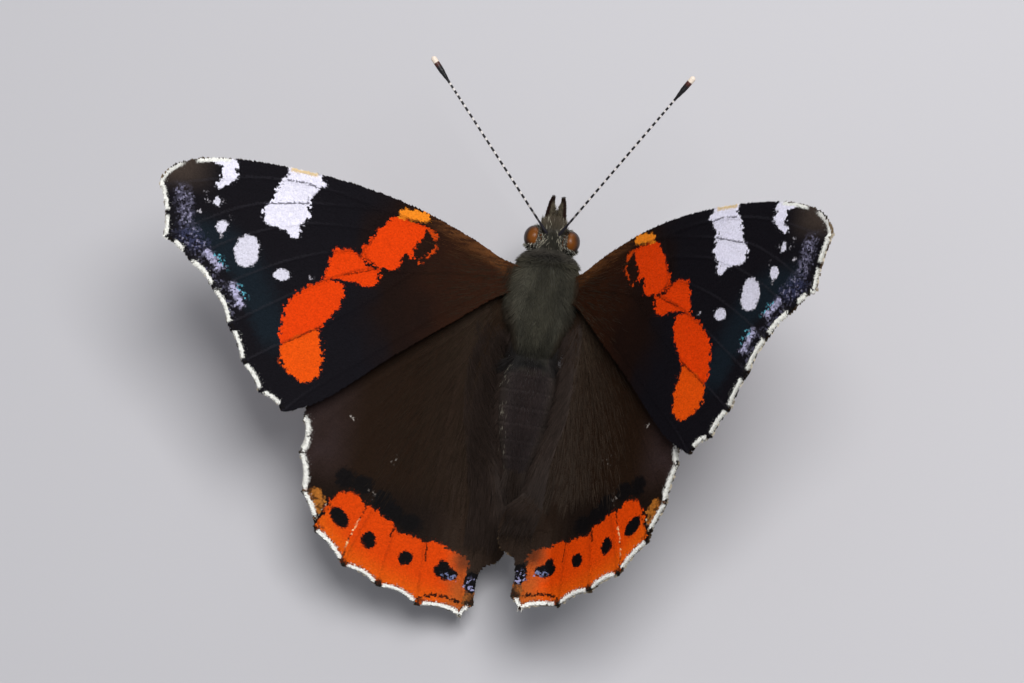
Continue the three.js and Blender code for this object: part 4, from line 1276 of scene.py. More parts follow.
def wing_hairs(name, wing, face, count, seed):
    plan = wing["plan"]
    rng = np.random.default_rng(seed)
    fore = plan is FOREWING
    tries = np.column_stack([rng.uniform(-2.4, 13, count * 8), rng.uniform(-24, 4, count * 8)])
    x, y = tries.T
    if fore:
        keep = (1 - ramp(np.hypot(x, y), 1.5, 9)) * 0.9
    else:
        end = 16.3 + 3.4 * (1 - ramp(x, 0.2, 1.6))
        keep = (1 - ramp(x, 3.0, 11)) * (1 - ramp(-y - end, 0, 1.8)) + (1 - ramp(np.hypot(x, y), 1, 6))
    tries = tries[inside(tries, outline(plan, 1.6)) & (rng.random(len(x)) < keep)][:count]
    x, y = tries.T
    way = run_out(x, y, plan)
    way = normed(way + rng.normal(0, 0.07, way.shape))
    near = 1 - ramp(np.hypot(x, y), 1, 9)
    tint = lay(plain(HAIR_ABOVE if face > 0 else HAIR_BELOW, len(x)), near * 0.7, HAIR_NEAR)
    if fore:
        tint = lay(tint, ramp(y - 0.1 * x, 0, 2.0) * 0.6, GOLDEN)
    # painted light and shade on the bent part behind the abdomen
    tint = uneven(tint, rng, 0.7, 1.25) * lobe_painted_shading(x, y, wing)
    place = on_wing(x, y, way, wing, face, 0.02, 0.04)
    size = sizes(0.045, rng.uniform(0.9, 1.8, len(x)) * (0.7 if fore else 1.0), 0.04)
    tag = "_hairs" if face > 0 else "_underhairs"
    return coat(name + tag, *place, size, tint, wing_map(x, y), HAIR, FUR, 0.04, 0.2, seed)


def fold_hairs(name, wing, count, seed):
    """Long hairs from the hindwing's fold, which lie back over the abdomen's flank."""
    rng = np.random.default_rng(seed)
    line = np.array(wing["fold"]["line"], float)
    y = rng.uniform(-20.3, -1.5, count)
    x = np.interp(-y, -line[:8, 1], line[:8, 0]) + rng.uniform(-1.4, 1.6, count)
    inward = rng.uniform(0.15, 0.9, count) * (1 - 0.9 * ramp(-y, 12, 15))
    way = normed(np.column_stack([-inward, -np.ones(count)]))
    tint = lay(plain(FLANK_DARK, count), rng.random(count), FLANK_LIGHT)
    # painted light and shade on the bent part behind the abdomen
    tint = uneven(tint, rng, 0.75, 1.2) * lobe_painted_shading(x, y, wing)
    place = on_wing(x, y, way, wing, 1, 0.02, 0.10)
    size = sizes(0.05, rng.uniform(1.4, 2.4, count) * (1 - 0.35 * ramp(-y, 16, 21)), 0.045)
    return coat(name + "_fold_hairs", *place, size, tint, wing_map(x, y), HAIR, FUR, 0.05, 0.2, seed)


def base_fur(name, wing, count, seed):
    """Body fur that spreads over a wing's root, so that the shoulder runs softly into the wing."""
    rng = np.random.default_rng(seed)
    fore = wing["plan"] is FOREWING
    x = rng.uniform(-1.3, 2.6, count * 3)
    y = rng.uniform(-1.2, 1.9, count * 3) if fore else rng.uniform(-5.5, 1.6, count * 3)
    reach = np.hypot((x + 0.5) / 1.9, (y - 0.3) / 1.7) if fore else ramp(x, 0.0, 2.6)
    keep = inside(np.column_stack([x, y]), outline(wing["plan"], 0.0))
    keep = keep & (rng.random(len(x)) < 1 - ramp(reach, 0.3, 1.0))
    x, y = x[keep][:count], y[keep][:count]
    way = normed(np.column_stack([rng.uniform(0.1, 0.8, len(x)), -np.ones(len(x))]))
    tint = lay(plain(ROOT_OLIVE, len(x)), ramp(x, -0.3, 1.2) + (0 if fore else 0.6), ROOT_BROWN)
    tint = uneven(tint, rng, 0.75, 1.2)
    place = on_wing(x, y, way, wing, 1, 0.02, 0.25)
    size = sizes(0.07, rng.uniform(0.4, 0.8, len(x)) * (1 + 0.4 * ramp(-y, 0, 1)), 0.06)
    return coat(name + "_base_fur", *place, size, tint, wing_map(x, y), TUFT, FUR, 0.1, 0.2, seed)


# how many hairs there are above, below and on the base of each wing
HAIR_COUNTS = {"fore": (1500, 700, 1000), "hind": (6500, 1500, 1900)}
FOLD_HAIRS = 4200
for k, (name, wing) in enumerate(WINGS.items()):
    above, below, at_base = HAIR_COUNTS[name[:4]]
    coats.append(fringe(name, wing, 300 + k))
    coats.append(wing_hairs(name, wing, 1, above, 320 + k))
    coats.append(wing_hairs(name, wing, -1, below, 340 + k))
    coats.append(base_fur(name, wing, at_base, 380 + k))
    if wing["fold"]:
        coats.append(fold_hairs(name, wing, FOLD_HAIRS, 360 + k))

# %% [markdown]
# ## The body
#
# Under the fur, head, thorax and abdomen are one skin with a neck and a waist, so no seam shows. It is a loft
# of rings along the body. Each ring is a little smaller than the solid that it replaces, by the depth of the
# coat there.

# %% Body stations and skin
BODY_Y = [-16.1, -15.6, -14.6, -13.2, -11.8, -10.4, -9.0, -7.6, -6.1, -5.2, -4.55, -4.0, -3.0, -1.6, 0.0,
          1.6, 3.0, 3.7, 4.1, 4.5, 5.0, 5.7, 6.5, 7.0, 7.25]
BODY_HALF = [0.12, 0.55, 0.95, 1.42, 1.8, 2.1, 2.28, 2.35, 2.2, 1.8, 1.6, 1.85, 2.2, 2.6, 2.85, 2.9, 2.6, 2.2,
             1.75, 1.3, 1.15, 1.1, 1.1, 0.8, 0.25]
BODY_UP = [0.12, 0.5, 0.85, 1.28, 1.62, 1.88, 2.05, 2.1, 1.95, 1.6, 1.35, 1.65, 2.1, 2.45, 2.6, 2.5, 2.15,
           1.72, 1.3, 1.1, 1.2, 1.25, 1.1, 0.7, 0.2]
BODY_DOWN = [0.12, 0.5, 0.85, 1.28, 1.62, 1.9, 2.08, 2.12, 2.0, 1.6, 1.3, 1.5, 2.0, 2.4, 2.5, 2.4, 2.0, 1.55,
             1.1, 1.0, 1.15, 1.25, 1.1, 0.75, 0.2]
BODY_MID = [-1.13, -1.06, -0.95, -0.8, -0.65, -0.52, -0.42, -0.36, -0.3, -0.27, -0.25, -0.2, -0.1, 0, 0,
            0, -0.1, -0.2, -0.3, -0.35, -0.35, -0.35, -0.4, -0.45, -0.5]
BODY_SIDES = 72
BODY_RINGS = 190
WAIST = -4.7
SEGMENT = 1.425


def along_body(values, y):
    """Smooth values along the body, without overshoot."""
    ys, vs = np.asarray(BODY_Y), np.asarray(values, float)
    slope = np.gradient(vs, ys)
    k = np.clip(np.searchsorted(ys, y) - 1, 0, len(ys) - 2)
    h = ys[k + 1] - ys[k]
    t = np.clip((y - ys[k]) / h, 0, 1)
    rise = (2 * t**3 - 3 * t**2 + 1) * vs[k] + (t**3 - 2 * t**2 + t) * h * slope[k]
    return rise + (-2 * t**3 + 3 * t**2) * vs[k + 1] + (t**3 - t**2) * h * slope[k + 1]


def belt_phase(y):
    """Distance from the middle of an abdomen segment, 0.5 at its ends."""
    return np.abs(((y - WAIST) / SEGMENT) % 1 - 0.5)


def thorax_crease(y, angle):
    """1 in the shallow grooves: behind the collar, round the small plate at the rear, and a short notch."""
    across = np.cos(angle)
    collar = np.exp(-((y - 3.35 + 0.5 * across**2) / 0.16)**2)
    off = np.abs(across + 0.08)
    plate = np.exp(-((y + 4.3 - 1.1 * off) / 0.14)**2) * (1 - ramp(off, 0.3, 0.5))
    off = np.abs(across + 0.1)
    notch = np.exp(-((y + 1.5 + 2.2 * off) / 0.1)**2) * (1 - ramp(off, 0.1, 0.16))
    plate = np.maximum(plate, notch)
    return np.maximum(collar, plate) * ramp(np.sin(angle), 0.1, 0.5)


def body_point(y, angle):
    """Body-frame points on the skin; angle 0 is the right side and a quarter turn the back."""
    half = along_body(BODY_HALF, y)
    tall = np.where(np.sin(angle) > 0, along_body(BODY_UP, y), along_body(BODY_DOWN, y))
    lift = np.where(y < WAIST, -0.035 * ramp(belt_phase(y), 0.36, 0.5), 0) - 0.12 * thorax_crease(y, angle)
    x = (half + lift) * np.cos(angle)
    z = along_body(BODY_MID, y) + (tall + lift) * np.sin(angle)
    return np.column_stack([x, y, z])


def body_frame(y, angle):
    """Points, outward normals and backward directions on the body skin."""
    step = 0.03
    p = body_point(y, angle)
    across = body_point(y, angle + step) - body_point(y, angle - step)
    behind, ahead = np.maximum(y - step, BODY_Y[0]), np.minimum(y + step, BODY_Y[-1])
    back = body_point(behind, angle) - body_point(ahead, angle)
    normal = normed(np.cross(back, across))
    outward = p - np.column_stack([np.zeros(len(y)), y, along_body(BODY_MID, y)])
    normal *= np.sign((normal * outward).sum(axis=1, keepdims=True) + 1e-9)
    return p, normal, normed(back)


THORAX_FUR = colour("3b3930")
SHOULDER_FUR = colour("423e33")
SIDE_FUR = colour("2c241b")
COLLAR_FUR = colour("44403a")
HEAD_FUR = colour("33312a")
FACE_FUR = colour("544b3e")
ABDOMEN_SCALE = colour("2b2322")
ABDOMEN_EDGE = colour("2e2622")
PALE_SPECK = colour("a9a290")
# painted shade for the waist between thorax and abdomen
WAIST_PAINTED_SHADE = colour("151414")
BELLY = colour("6b5f4c")
# painted shade for the thorax's grooves
CREASE_PAINTED_SHADE = colour("1f1c17")
TAIL_FUR = colour("2a211c")
SKIN_SHARE = 0.7
TINT_SEED = 5


def body_tint(y, angle):
    x, up = np.cos(angle), np.sin(angle)
    base = plain(THORAX_FUR, len(y))
    base = lay(base, ramp(np.abs(x), 0.5, 0.9) * ramp(y, -0.5, 2.0), SHOULDER_FUR)
    base = lay(base, ramp(np.abs(x), 0.6, 0.95) * (1 - ramp(y, -1.0, 1.0)), SIDE_FUR)
    # painted shade in the thorax's grooves
    base = lay(base, thorax_crease(y, angle) * 0.6, CREASE_PAINTED_SHADE)
    base = lay(base, ramp(y, 3.4, 4.0), COLLAR_FUR)
    base = lay(base, ramp(y, 4.5, 5.0), HEAD_FUR)
    base = lay(base, ramp(y, 5.9, 6.8) * 0.8, FACE_FUR)
    tail = 1 - ramp(y + 0.5 * noise(x * 3, y, 0.5, 84), -6.2, -4.2)
    base = lay(base, tail, ABDOMEN_SCALE)
    base = lay(base, tail * ramp(np.abs(x), 0.55, 0.9), ABDOMEN_EDGE)
    # painted shade: the waist is painted dark where shade falls between thorax and abdomen, more so on its
    # left, away from the lamp
    waist = (1 - ramp(y + 0.3 * noise(x * 3, y, 0.4, 85), -4.6, -3.3)) * ramp(y, -5.8, -5.0)
    base = lay(base, waist * 0.55, WAIST_PAINTED_SHADE)
    base = lay(base, np.exp(-((y + 5.1 + 0.9 * x * x) / 0.45)**2) * 0.6, WAIST_PAINTED_SHADE)
    base = lay(base, np.exp(-((y + 5.3) / 0.2)**2) * (1 - ramp(np.abs(x + 0.1), 0.45, 0.7)) * 0.8, WAIST_PAINTED_SHADE)
    base = lay(base, ramp(-x, 0.3, 0.8) * np.exp(-((y + 5.0) / 1.0)**2) * 0.8, WAIST_PAINTED_SHADE)
    flank = (1 - ramp(np.abs(x + 0.84), 0.05, 0.2)) * (up > -0.1) * ramp(-y, 5, 6)
    specks = ramp(noise(y, x * 3, 0.13, 83), 0.5, 0.75) * ramp(noise(y, x, 0.8, 88), -0.2, 0.3)
    base = lay(base, tail * flank * specks * 0.5, PALE_SPECK)
    base = lay(base, ramp(-up, 0.15, 0.6), BELLY)
    blotch = noise(x * 2.2, y, 0.8, TINT_SEED) + 0.6 * noise(x * 5, y, 0.35, TINT_SEED + 1)
    streak = noise(x * 3.4, y * 0.3, 0.6, 86) * ramp(y, -4.5, -3.0) * (1 - ramp(y, 2.6, 3.4))
    return base * (1 + 0.18 * blotch + 0.28 * streak)[:, None]


rings = np.linspace(BODY_Y[0], BODY_Y[-1], BODY_RINGS)
ring_y, ring_a = (g.ravel() for g in np.meshgrid(rings, turns_round(BODY_SIDES), indexing="ij"))
poles = np.array([(0, y, along_body(BODY_MID, np.array([y]))[0]) for y in (rings[0], rings[-1])])
skin_points = np.vstack([body_point(ring_y, ring_a), poles])
skin_faces = closed_rings(BODY_RINGS, BODY_SIDES)
skin_tint = np.vstack([body_tint(ring_y, ring_a), [ABDOMEN_SCALE], [HEAD_FUR]])
body_skin = mesh_piece("body_skin", to_room(skin_points), skin_faces, skin_tint * SKIN_SHARE)
body_skin.data.materials.append(BODY_SKIN)
print("body skin triangles:", len(skin_faces))

# %% [markdown]
# ## The fur
#
# The thorax wears a dense olive-grey fur like felt, longer on the shoulders. A grey-brown collar hides the
# neck, and the head's hair is short, dark and white mixed, and grows forwards on the face. The abdomen has
# short flat scale hairs, and softer ones stand out from its flanks. Each tuft stands for a few hairs.

# %% Set the body fur


def body_field(low, high, pitch, seed):
    rng = np.random.default_rng(seed)
    ys, angles = [], []
    for y in np.arange(low, high, pitch):
        girth = 2 * math.pi * along_body(BODY_HALF, np.array([y]))[0]
        count = max(4, int(girth / pitch))
        angles.append((np.arange(count) + rng.uniform(-0.4, 0.4, count)) * 2 * math.pi / count)
        ys.append(y + rng.uniform(-0.5, 0.5, count) * pitch)
    return np.clip(np.concatenate(ys), low, high), np.concatenate(angles) % (2 * math.pi), rng


def body_place_map(y, angle):
    """A place on the unrolled body, for the bake map."""
    return np.column_stack([angle / (2 * math.pi), (y - BODY_Y[0]) / (BODY_Y[-1] - BODY_Y[0])]) * 0.98 + 0.01


def in_room(points, along, normal):
    return to_room(points), turn_to_room(along), turn_to_room(normal)


def at(value, y, angle):
    """A number, or a function of the place along and round the body, read at each place."""
    return value(y, angle) if callable(value) else np.full(len(y), value)


def body_coat(name, low, high, pitch, length, width, tilt, seed, pale, lean, wander):
    """Length, tilt, pale and lean are numbers or functions of the place along and round the body."""
    y, angle, rng = body_field(low, high, pitch, seed)
    p, normal, back = body_frame(y, angle)
    away = np.column_stack([np.cos(angle), np.zeros(len(y)), np.zeros(len(y))])
    drift = at(lean, y, angle)[:, None]
    # the hair of the face grows forwards, towards the palps
    way = back * (1 - 2 * ramp(y, 6.0, 6.5))[:, None] + away * drift + rng.normal(0, wander, back.shape)
    way = normed(way - normal * (way * normal).sum(axis=1, keepdims=True))
    steep = at(tilt, y, angle)[:, None]
    along = way * np.cos(steep) + normal * np.sin(steep)
    tint = uneven(body_tint(y, angle), rng, 0.8, 1.2)
    tint = lay(tint, (rng.random(len(y)) < at(pale, y, angle)).astype(float), PALE_SPECK)
    size = sizes(width, at(length, y, angle) * rng.uniform(0.8, 1.15, len(y)), width)
    return coat(name, *in_room(p, along, normal), size, tint, body_place_map(y, angle), TUFT, FUR,
                0.08, 0.15, seed)


def shoulder(y, angle):
    """1 on the thorax's sides where its fur laps over the roots of the wings."""
    return ramp(np.abs(np.cos(angle)), 0.5, 0.85) * ramp(y, -2.6, -0.8) * (1 - ramp(y, 2.6, 3.4))


def thorax_length(y, angle):
    return 0.55 + 0.45 * shoulder(y, angle) + 0.3 * (1 - ramp(y, -4.4, -2.6))


def thorax_tilt(y, angle):
    return 0.22 + 0.38 * shoulder(y, angle)


def thorax_lean(y, angle):
    return 0.25 + 0.9 * shoulder(y, angle)


def head_length(y, angle):
    return 0.34 + 0.4 * ramp(y, 6.1, 6.8)


def head_pale(y, angle):
    """White hairs stand beside and behind the eyes."""
    beside = ramp(np.abs(np.cos(angle)), 0.35, 0.7) * (1 - ramp(y, 5.6, 6.3))
    sockets = np.exp(-((y - 5.75) / 0.35)**2 - ((np.abs(np.cos(angle)) - 0.5) / 0.16)**2)
    return 0.05 + 0.24 * beside * (1 - 0.7 * ramp(y, 5.4, 6.0)) + 0.4 * sockets


def flank_hairs(name, side, count, seed):
    """Soft hairs from the flank, from the rear of the thorax to the tail, which lie out to the wing."""
    rng = np.random.default_rng(seed)
    y = rng.uniform(-15.9, -2.6, count)
    angle = rng.uniform(-0.7, 0.2, count) + 0.4 * np.exp(-((y + 4.5) / 0.9)**2)
    angle = angle if side > 0 else math.pi - angle
    p, normal, back = body_frame(y, angle)
    along = normal * rng.uniform(0.3, 0.75, count)[:, None] + back + rng.normal(0, 0.1, back.shape)
    waist = np.exp(-((y + 4.6) / 1.4)**2)
    long = rng.uniform(0.9, 1.4, count) * (1 + 0.5 * waist)
    tint = lay(plain(FLANK_DARK, count), rng.random(count) * 0.8, FLANK_LIGHT)
    # painted shade: the hairs by the waist are darker where it lies in shade
    tint = lay(tint, ramp(waist, 0.2, 0.7) * 0.85, WAIST_PAINTED_SHADE)
    thick = np.full(count, 0.055)
    if side < 0:
        # a few short pale hairs catch the light along the left flank
        thin_out = ramp(noise(y, y * 0, 0.7, 87), -0.3, 0.4)
        pale = (rng.random(count) < 0.1 * thin_out) & (y < -5.6) & (angle > math.pi - 0.1)
        tint = lay(tint, pale * rng.uniform(0.3, 0.8, count), PALE_SPECK)
        long = np.where(pale, long * 0.6, long)
        thick = np.where(pale, 0.035, thick)
        along = along + (pale[:, None] * rng.normal(0, 0.35, back.shape))
    size = sizes(thick, long, thick * 0.9)
    return coat(name, *in_room(p, along, normal), size, tint, body_place_map(y, angle), HAIR, FUR,
                0.08, 0.2, seed)


def tail_hairs(count, seed):
    """The brush at the abdomen's end."""
    rng = np.random.default_rng(seed)
    y = rng.uniform(-16.0, -14.4, count)
    angle = rng.uniform(0, 2 * math.pi, count)
    p, normal, back = body_frame(y, angle)
    along = normal * 0.25 + np.array([0, -1.0, 0]) + rng.normal(0, 0.12, back.shape)
    tint = uneven(plain(TAIL_FUR, count), rng, 0.8, 1.25)
    size = sizes(0.06, rng.uniform(1.2, 3.2, count), 0.05)
    return coat("tail_brush", *in_room(p, along, normal), size, tint, body_place_map(y, angle), HAIR, FUR,
                0.08, 0.2, seed)


# for each coat its name, start, end and pitch, its length, width and tilt, its seed, pale, lean and wander
BODY_COATS = [
    ("thorax_fur", -4.6, 3.6, 0.115, thorax_length, 0.085, thorax_tilt, 400, 0.0, thorax_lean, 0.10),
    ("collar_fur", 3.4, 4.8, 0.09, 0.55, 0.075, 0.65, 403, 0.0, 0.45, 0.25),
    ("head_fur", 4.5, 7.2, 0.095, head_length, 0.065, 0.40, 401, head_pale, 0.25, 0.22),
    ("abdomen_fur", -16.0, -4.5, 0.11, 0.40, 0.09, 0.14, 402, 0.0, 0.1, 0.06),
]
FLANK_HAIRS = 2200
TAIL_HAIRS = 1100
for row in BODY_COATS:
    coats.append(body_coat(*row))
coats.append(flank_hairs("flank_hairs_right", 1, FLANK_HAIRS, 404))
coats.append(flank_hairs("flank_hairs_left", -1, FLANK_HAIRS, 405))
coats.append(tail_hairs(TAIL_HAIRS, 406))

# %% [markdown]
# ## Rods: palps, antennae and legs
#
# Palps, antennae and legs are rods that follow smooth paths and change in thickness. A rod is rings of points
# round a curve, with frames carried along it so that it doesn't twist.

# %% Rod maker


def bent_path(points, step=0.12):
    """A centripetal curve through points, sampled evenly."""
    pts = [np.array(p, float) for p in points]
    pts = [2 * pts[0] - pts[1]] + pts + [2 * pts[-1] - pts[-2]]
    dense = []
    for p0, p1, p2, p3 in zip(pts, pts[1:], pts[2:], pts[3:]):
        d0, d1, d2 = (math.sqrt(np.linalg.norm(b - a)) for a, b in ((p0, p1), (p1, p2), (p2, p3)))
        v1 = ((p1 - p0) / d0 - (p2 - p0) / (d0 + d1) + (p2 - p1) / d1) * d1
        v2 = ((p2 - p1) / d1 - (p3 - p1) / (d1 + d2) + (p3 - p2) / d2) * d1
        t = np.linspace(0, 1, 20, endpoint=False)[:, None]
        dense.append((2 * t**3 - 3 * t**2 + 1) * p1 + (t**3 - 2 * t**2 + t) * v1 + (-2 * t**3 + 3 * t**2) * p2
                     + (t**3 - t**2) * v2)
    dense.append(pts[-2][None])
    return resample(np.vstack(dense), step)


def frames_along(path):
    """Two directions across the path at each point, carried along without twist."""
    ahead = normed(np.gradient(path, axis=0))
    start = np.cross(ahead[0], [0, 0, 1.0])
    sides = [start / np.linalg.norm(start)]
    for t in ahead[1:]:
        s = sides[-1] - t * (sides[-1] @ t)
        sides.append(s / np.linalg.norm(s))
    sides = np.array(sides)
    return ahead, sides, np.cross(sides, ahead)


def rod(path, radius, tint, sides=14, floor=None):
    """A closed rod; radius and tint are given for each point of the path, and a floor flattens it below."""
    _, across, over = frames_along(path)
    turns = turns_round(sides)[None, :, None]
    spokes = across[:, None, :] * np.cos(turns) + over[:, None, :] * np.sin(turns)
    points = (path[:, None, :] + spokes * np.asarray(radius)[:, None, None]).reshape(-1, 3)
    if floor is not None:
        points[:, 2] = np.maximum(points[:, 2], floor)
    points = np.vstack([points, path[:1], path[-1:]])
    colours = np.vstack([np.repeat(tint, sides, axis=0), tint[:1], tint[-1:]])
    return points, closed_rings(len(path), sides), colours


def around(path, k, rng):
    """Outward directions at random turns round the path's points k, and the way ahead there."""
    ahead, across, over = frames_along(path)
    a = rng.uniform(0, 2 * math.pi, len(k))
    return across[k] * np.cos(a)[:, None] + over[k] * np.sin(a)[:, None], ahead[k]


def rod_map(normal, k, path):
    """A place on the unrolled rod, for the bake map."""
    turn = np.arctan2(normal[:, 2], normal[:, 0]) / (2 * math.pi) + 0.5
    return np.column_stack([turn, k / len(path)]) * 0.96 + 0.02


def facing_out(points, faces):
    """The faces of a closed form, turned over if they look inwards."""
    faces = np.asarray(faces)
    a, b, c = (points[faces[:, k]] for k in range(3))
    return faces if (a * np.cross(b, c)).sum() > 0 else faces[:, ::-1]


def rod_piece(name, parts, finish, room):
    """Joins rods in one piece; room turns their points into room metres."""
    points, faces, tints, start = [], [], [], 0
    for p, f, c in parts:
        points.append(p)
        faces.append(facing_out(p, f) + start)
        tints.append(c)
        start += len(p)
    piece = mesh_piece(name, room(np.vstack(points)), np.vstack(faces), np.vstack(tints))
    piece.data.materials.append(finish)
    print(name, "triangles:", start * 2)
    return piece


# %% [markdown]
# ## Palps
#
# Two hairy palps stand up in front of the face like a short beak. Each is a tapering rod under a dense fur,
# dark outside and paler on the side that faces the other palp, where the hair is longer.

# %% Palps
PALP_PATH = np.array([(0.5, 6.2, -1.5), (0.52, 7.6, -0.9), (0.5, 8.6, -0.2), (0.42, 9.2, 0.4)])
PALP_HAIRS = 1700
PALP_SKIN = colour("2a2620")
PALP_DARK = colour("301d17")
PALP_PALE = colour("756b59")


def palp(name, side):
    path = bent_path(PALP_PATH * [side, 1, 1], 0.05)
    t = np.linspace(0, 1, len(path))
    radius = 0.42 - 0.33 * t**1.2
    radius[-1] = 0.03
    tint = plain(PALP_SKIN, len(path))
    piece = rod_piece(name, [rod(path, radius, tint)], BODY_SKIN, to_room)
    rng = np.random.default_rng(500 + side)
    k = rng.integers(2, len(path) - 4, PALP_HAIRS)
    normal, ahead = around(path, k, rng)
    roots = path[k] + normal * radius[k][:, None]
    facing = -normal[:, 0] * side
    inner = ramp(facing + 0.5 * normal[:, 2], 0.0, 0.6)
    share = k / len(path)
    low = 1 - ramp(share, 0.45, 0.75)
    spring = 0.16 + 0.5 * ramp(facing, 0.2, 0.8) * low
    along = ahead * 0.92 + normal * spring[:, None] + rng.normal(0, 0.08, normal.shape)
    fur = lay(plain(PALP_DARK, len(k)), inner * (1 - ramp(share, 0.7, 0.92)), PALP_PALE)
    fur = uneven(fur, rng, 0.45, 1.45)
    long = rng.uniform(0.3, 0.5, len(k)) * (1 - 0.55 * k / len(path))
    long = long * (1 + 0.6 * ramp(facing, 0.3, 0.8) * low)
    coats.append(coat(name + "_fur", *in_room(roots, along, normal), sizes(0.06, long, 0.06), fur,
                      rod_map(normal, k, path), TUFT, FUR, 0.1, 0.2, 510 + side))
    return piece


palps = {"palp_right": palp("palp_right_skin", 1), "palp_left": palp("palp_left_skin", -1)}

# %% [markdown]
# ## Antennae
#
# Each antenna is a row of small barrels, black with a white ring at each joint, that ends in a black club
# with a cream tip. The barrels and rings repeat along one rod: a beat that counts along the path swells the
# rod at each barrel and colours the rings, and runs faster near the club, where the joints are shorter.

# %% Antennae
ANTENNA_BASE = np.array([0.5, 5.9, 0.75])
ANTENNA_LENGTH = 18.05
ANTENNA_BOW = 0.5
CLUB = 2.9
SHAFT_RADIUS = 0.088
CLUB_RADIUS = 0.25
AIM = {"left": (42.1, 9), "right": (31.7, 15)}
RING_PITCH = 0.68
LAST_RINGS = 5.0
LAST_PITCH = 0.55
ANTENNA_BLACK = colour("0f0d10")
ANTENNA_ROOT = colour("15111a")
RING_WHITE = colour("e6e0dc")
CLUB_BROWN = colour("4a1c10")
CLUB_CREAM = colour("ecdccb")


def antenna(which):
    out, rise = (math.radians(v) for v in AIM[which])
    side = -1 if which == "left" else 1
    way = np.array([math.sin(out) * math.cos(rise), math.cos(out) * math.cos(rise), math.sin(rise)])
    s = np.arange(0, ANTENNA_LENGTH, 0.04)
    t = s / ANTENNA_LENGTH
    path = ANTENNA_BASE + way * s[:, None] + np.array([0, 0, ANTENNA_BOW]) * (4 * t * (1 - t))[:, None]
    path = path * [side, 1, 1]
    club = ramp(s, ANTENNA_LENGTH - CLUB, ANTENNA_LENGTH - CLUB + 1.9)
    end = ramp(s, ANTENNA_LENGTH - 0.3, ANTENNA_LENGTH + 0.02)
    last = np.maximum(s - (ANTENNA_LENGTH - LAST_RINGS), 0)
    beat = (s / RING_PITCH + last * (1 / LAST_PITCH - 1 / RING_PITCH)) % 1
    white = ((beat < 0.38) & (club < 0.15)) * ramp(s, 1.0, 4.0)
    knuckle = 0.014 * (1 - np.abs(2 * beat - 1)) * (club < 0.9)
    radius = SHAFT_RADIUS + (CLUB_RADIUS - SHAFT_RADIUS) * club + knuckle + 0.03 * (1 - ramp(s, 0.5, 1.1))
    radius = radius * np.sqrt(np.maximum(1 - end**2, 0.004))
    tint = lay(plain(ANTENNA_BLACK, len(s)), 1 - ramp(s, 1.0, 3.0), ANTENNA_ROOT)
    tint = lay(tint, white * 0.95, RING_WHITE)
    tint = lay(tint, ramp(s, ANTENNA_LENGTH - 1.2, ANTENNA_LENGTH - 0.7), CLUB_BROWN)
    tint = lay(tint, ramp(s, ANTENNA_LENGTH - 0.66, ANTENNA_LENGTH - 0.58), CLUB_CREAM)
    return rod_piece(f"antenna_{which}_shaft", [rod(path, radius, tint, sides=16)], HORN, to_room)


antennae = {f"antenna_{w}": antenna(w) for w in ("left", "right")}

# %% [markdown]
# ## Eyes
#
# A butterfly's eye is a ball of thousands of tiny lenses. At this size they read as a fine net under a gloss,
# so the ball is smooth and the net is bump. Its colour is painted light and shade: orange-brown above and
# dark brown below and on the outer side, as the light falls on it. A rim of black and white hair stands
# round it.

# %% Eyes
EYE_CENTRE = np.array([1.56, 5.47, -0.3])
EYE_RADII = np.array([0.87, 1.03, 1.13])
# painted light and painted shade of the eye
EYE_PAINTED_LIGHT = colour("74400f")
EYE_PAINTED_SHADE = colour("261206")
LENSES = 9000
NET_DEPTH = 0.00004
EYE_ROWS, EYE_COLUMNS = 40, 56
RIM_HAIRS = 1300
RIM_WHITE_HAIR = colour("b9b5a6")
RIM_BLACK_HAIR = colour("1c1916")


def eye_finish():
    material = tinted("eye_lenses", 0.3, 0.2)
    nodes, links = material.node_tree.nodes, material.node_tree.links
    skin = nodes["Principled BSDF"]
    place = nodes.new("ShaderNodeTexCoord")
    cells = nodes.new("ShaderNodeTexVoronoi")
    cells.inputs["Scale"].default_value = LENSES
    bump = nodes.new("ShaderNodeBump")
    bump.inputs["Strength"].default_value = 0.35
    bump.inputs["Distance"].default_value = NET_DEPTH
    links.new(place.outputs["Object"], cells.inputs["Vector"])
    links.new(cells.outputs["Distance"], bump.inputs["Height"])
    links.new(bump.outputs["Normal"], skin.inputs["Normal"])
    skin.inputs["Coat Weight"].default_value = 0.06
    skin.inputs["Coat Roughness"].default_value = 0.1
    return material


EYE = eye_finish()


def eye(name, side):
    polar = np.linspace(0, math.pi, EYE_ROWS + 1)[1:-1]
    unit = [(math.sin(p) * math.cos(a), math.sin(p) * math.sin(a), math.cos(p))
            for p in polar for a in turns_round(EYE_COLUMNS)]
    unit = np.array(unit + [(0, 0, 1), (0, 0, -1)])
    ball = unit * EYE_RADII + EYE_CENTRE * [side, 1, 1]
    faces = facing_out(ball, closed_rings(EYE_ROWS - 1, EYE_COLUMNS))
    drift = noise(ball[:, 0] + ball[:, 2], ball[:, 1], 0.45, 91)
    # painted light above, painted shade below and on the outer side
    lit_share = ramp(unit[:, 2] - 0.2 * unit[:, 0] * side + 0.15 * drift, 0.3, 1.08)
    tint = lay(plain(EYE_PAINTED_SHADE, len(unit)), lit_share, EYE_PAINTED_LIGHT)
    piece = mesh_piece(name, to_room(ball), faces, tint)
    piece.data.materials.append(EYE)
    return piece


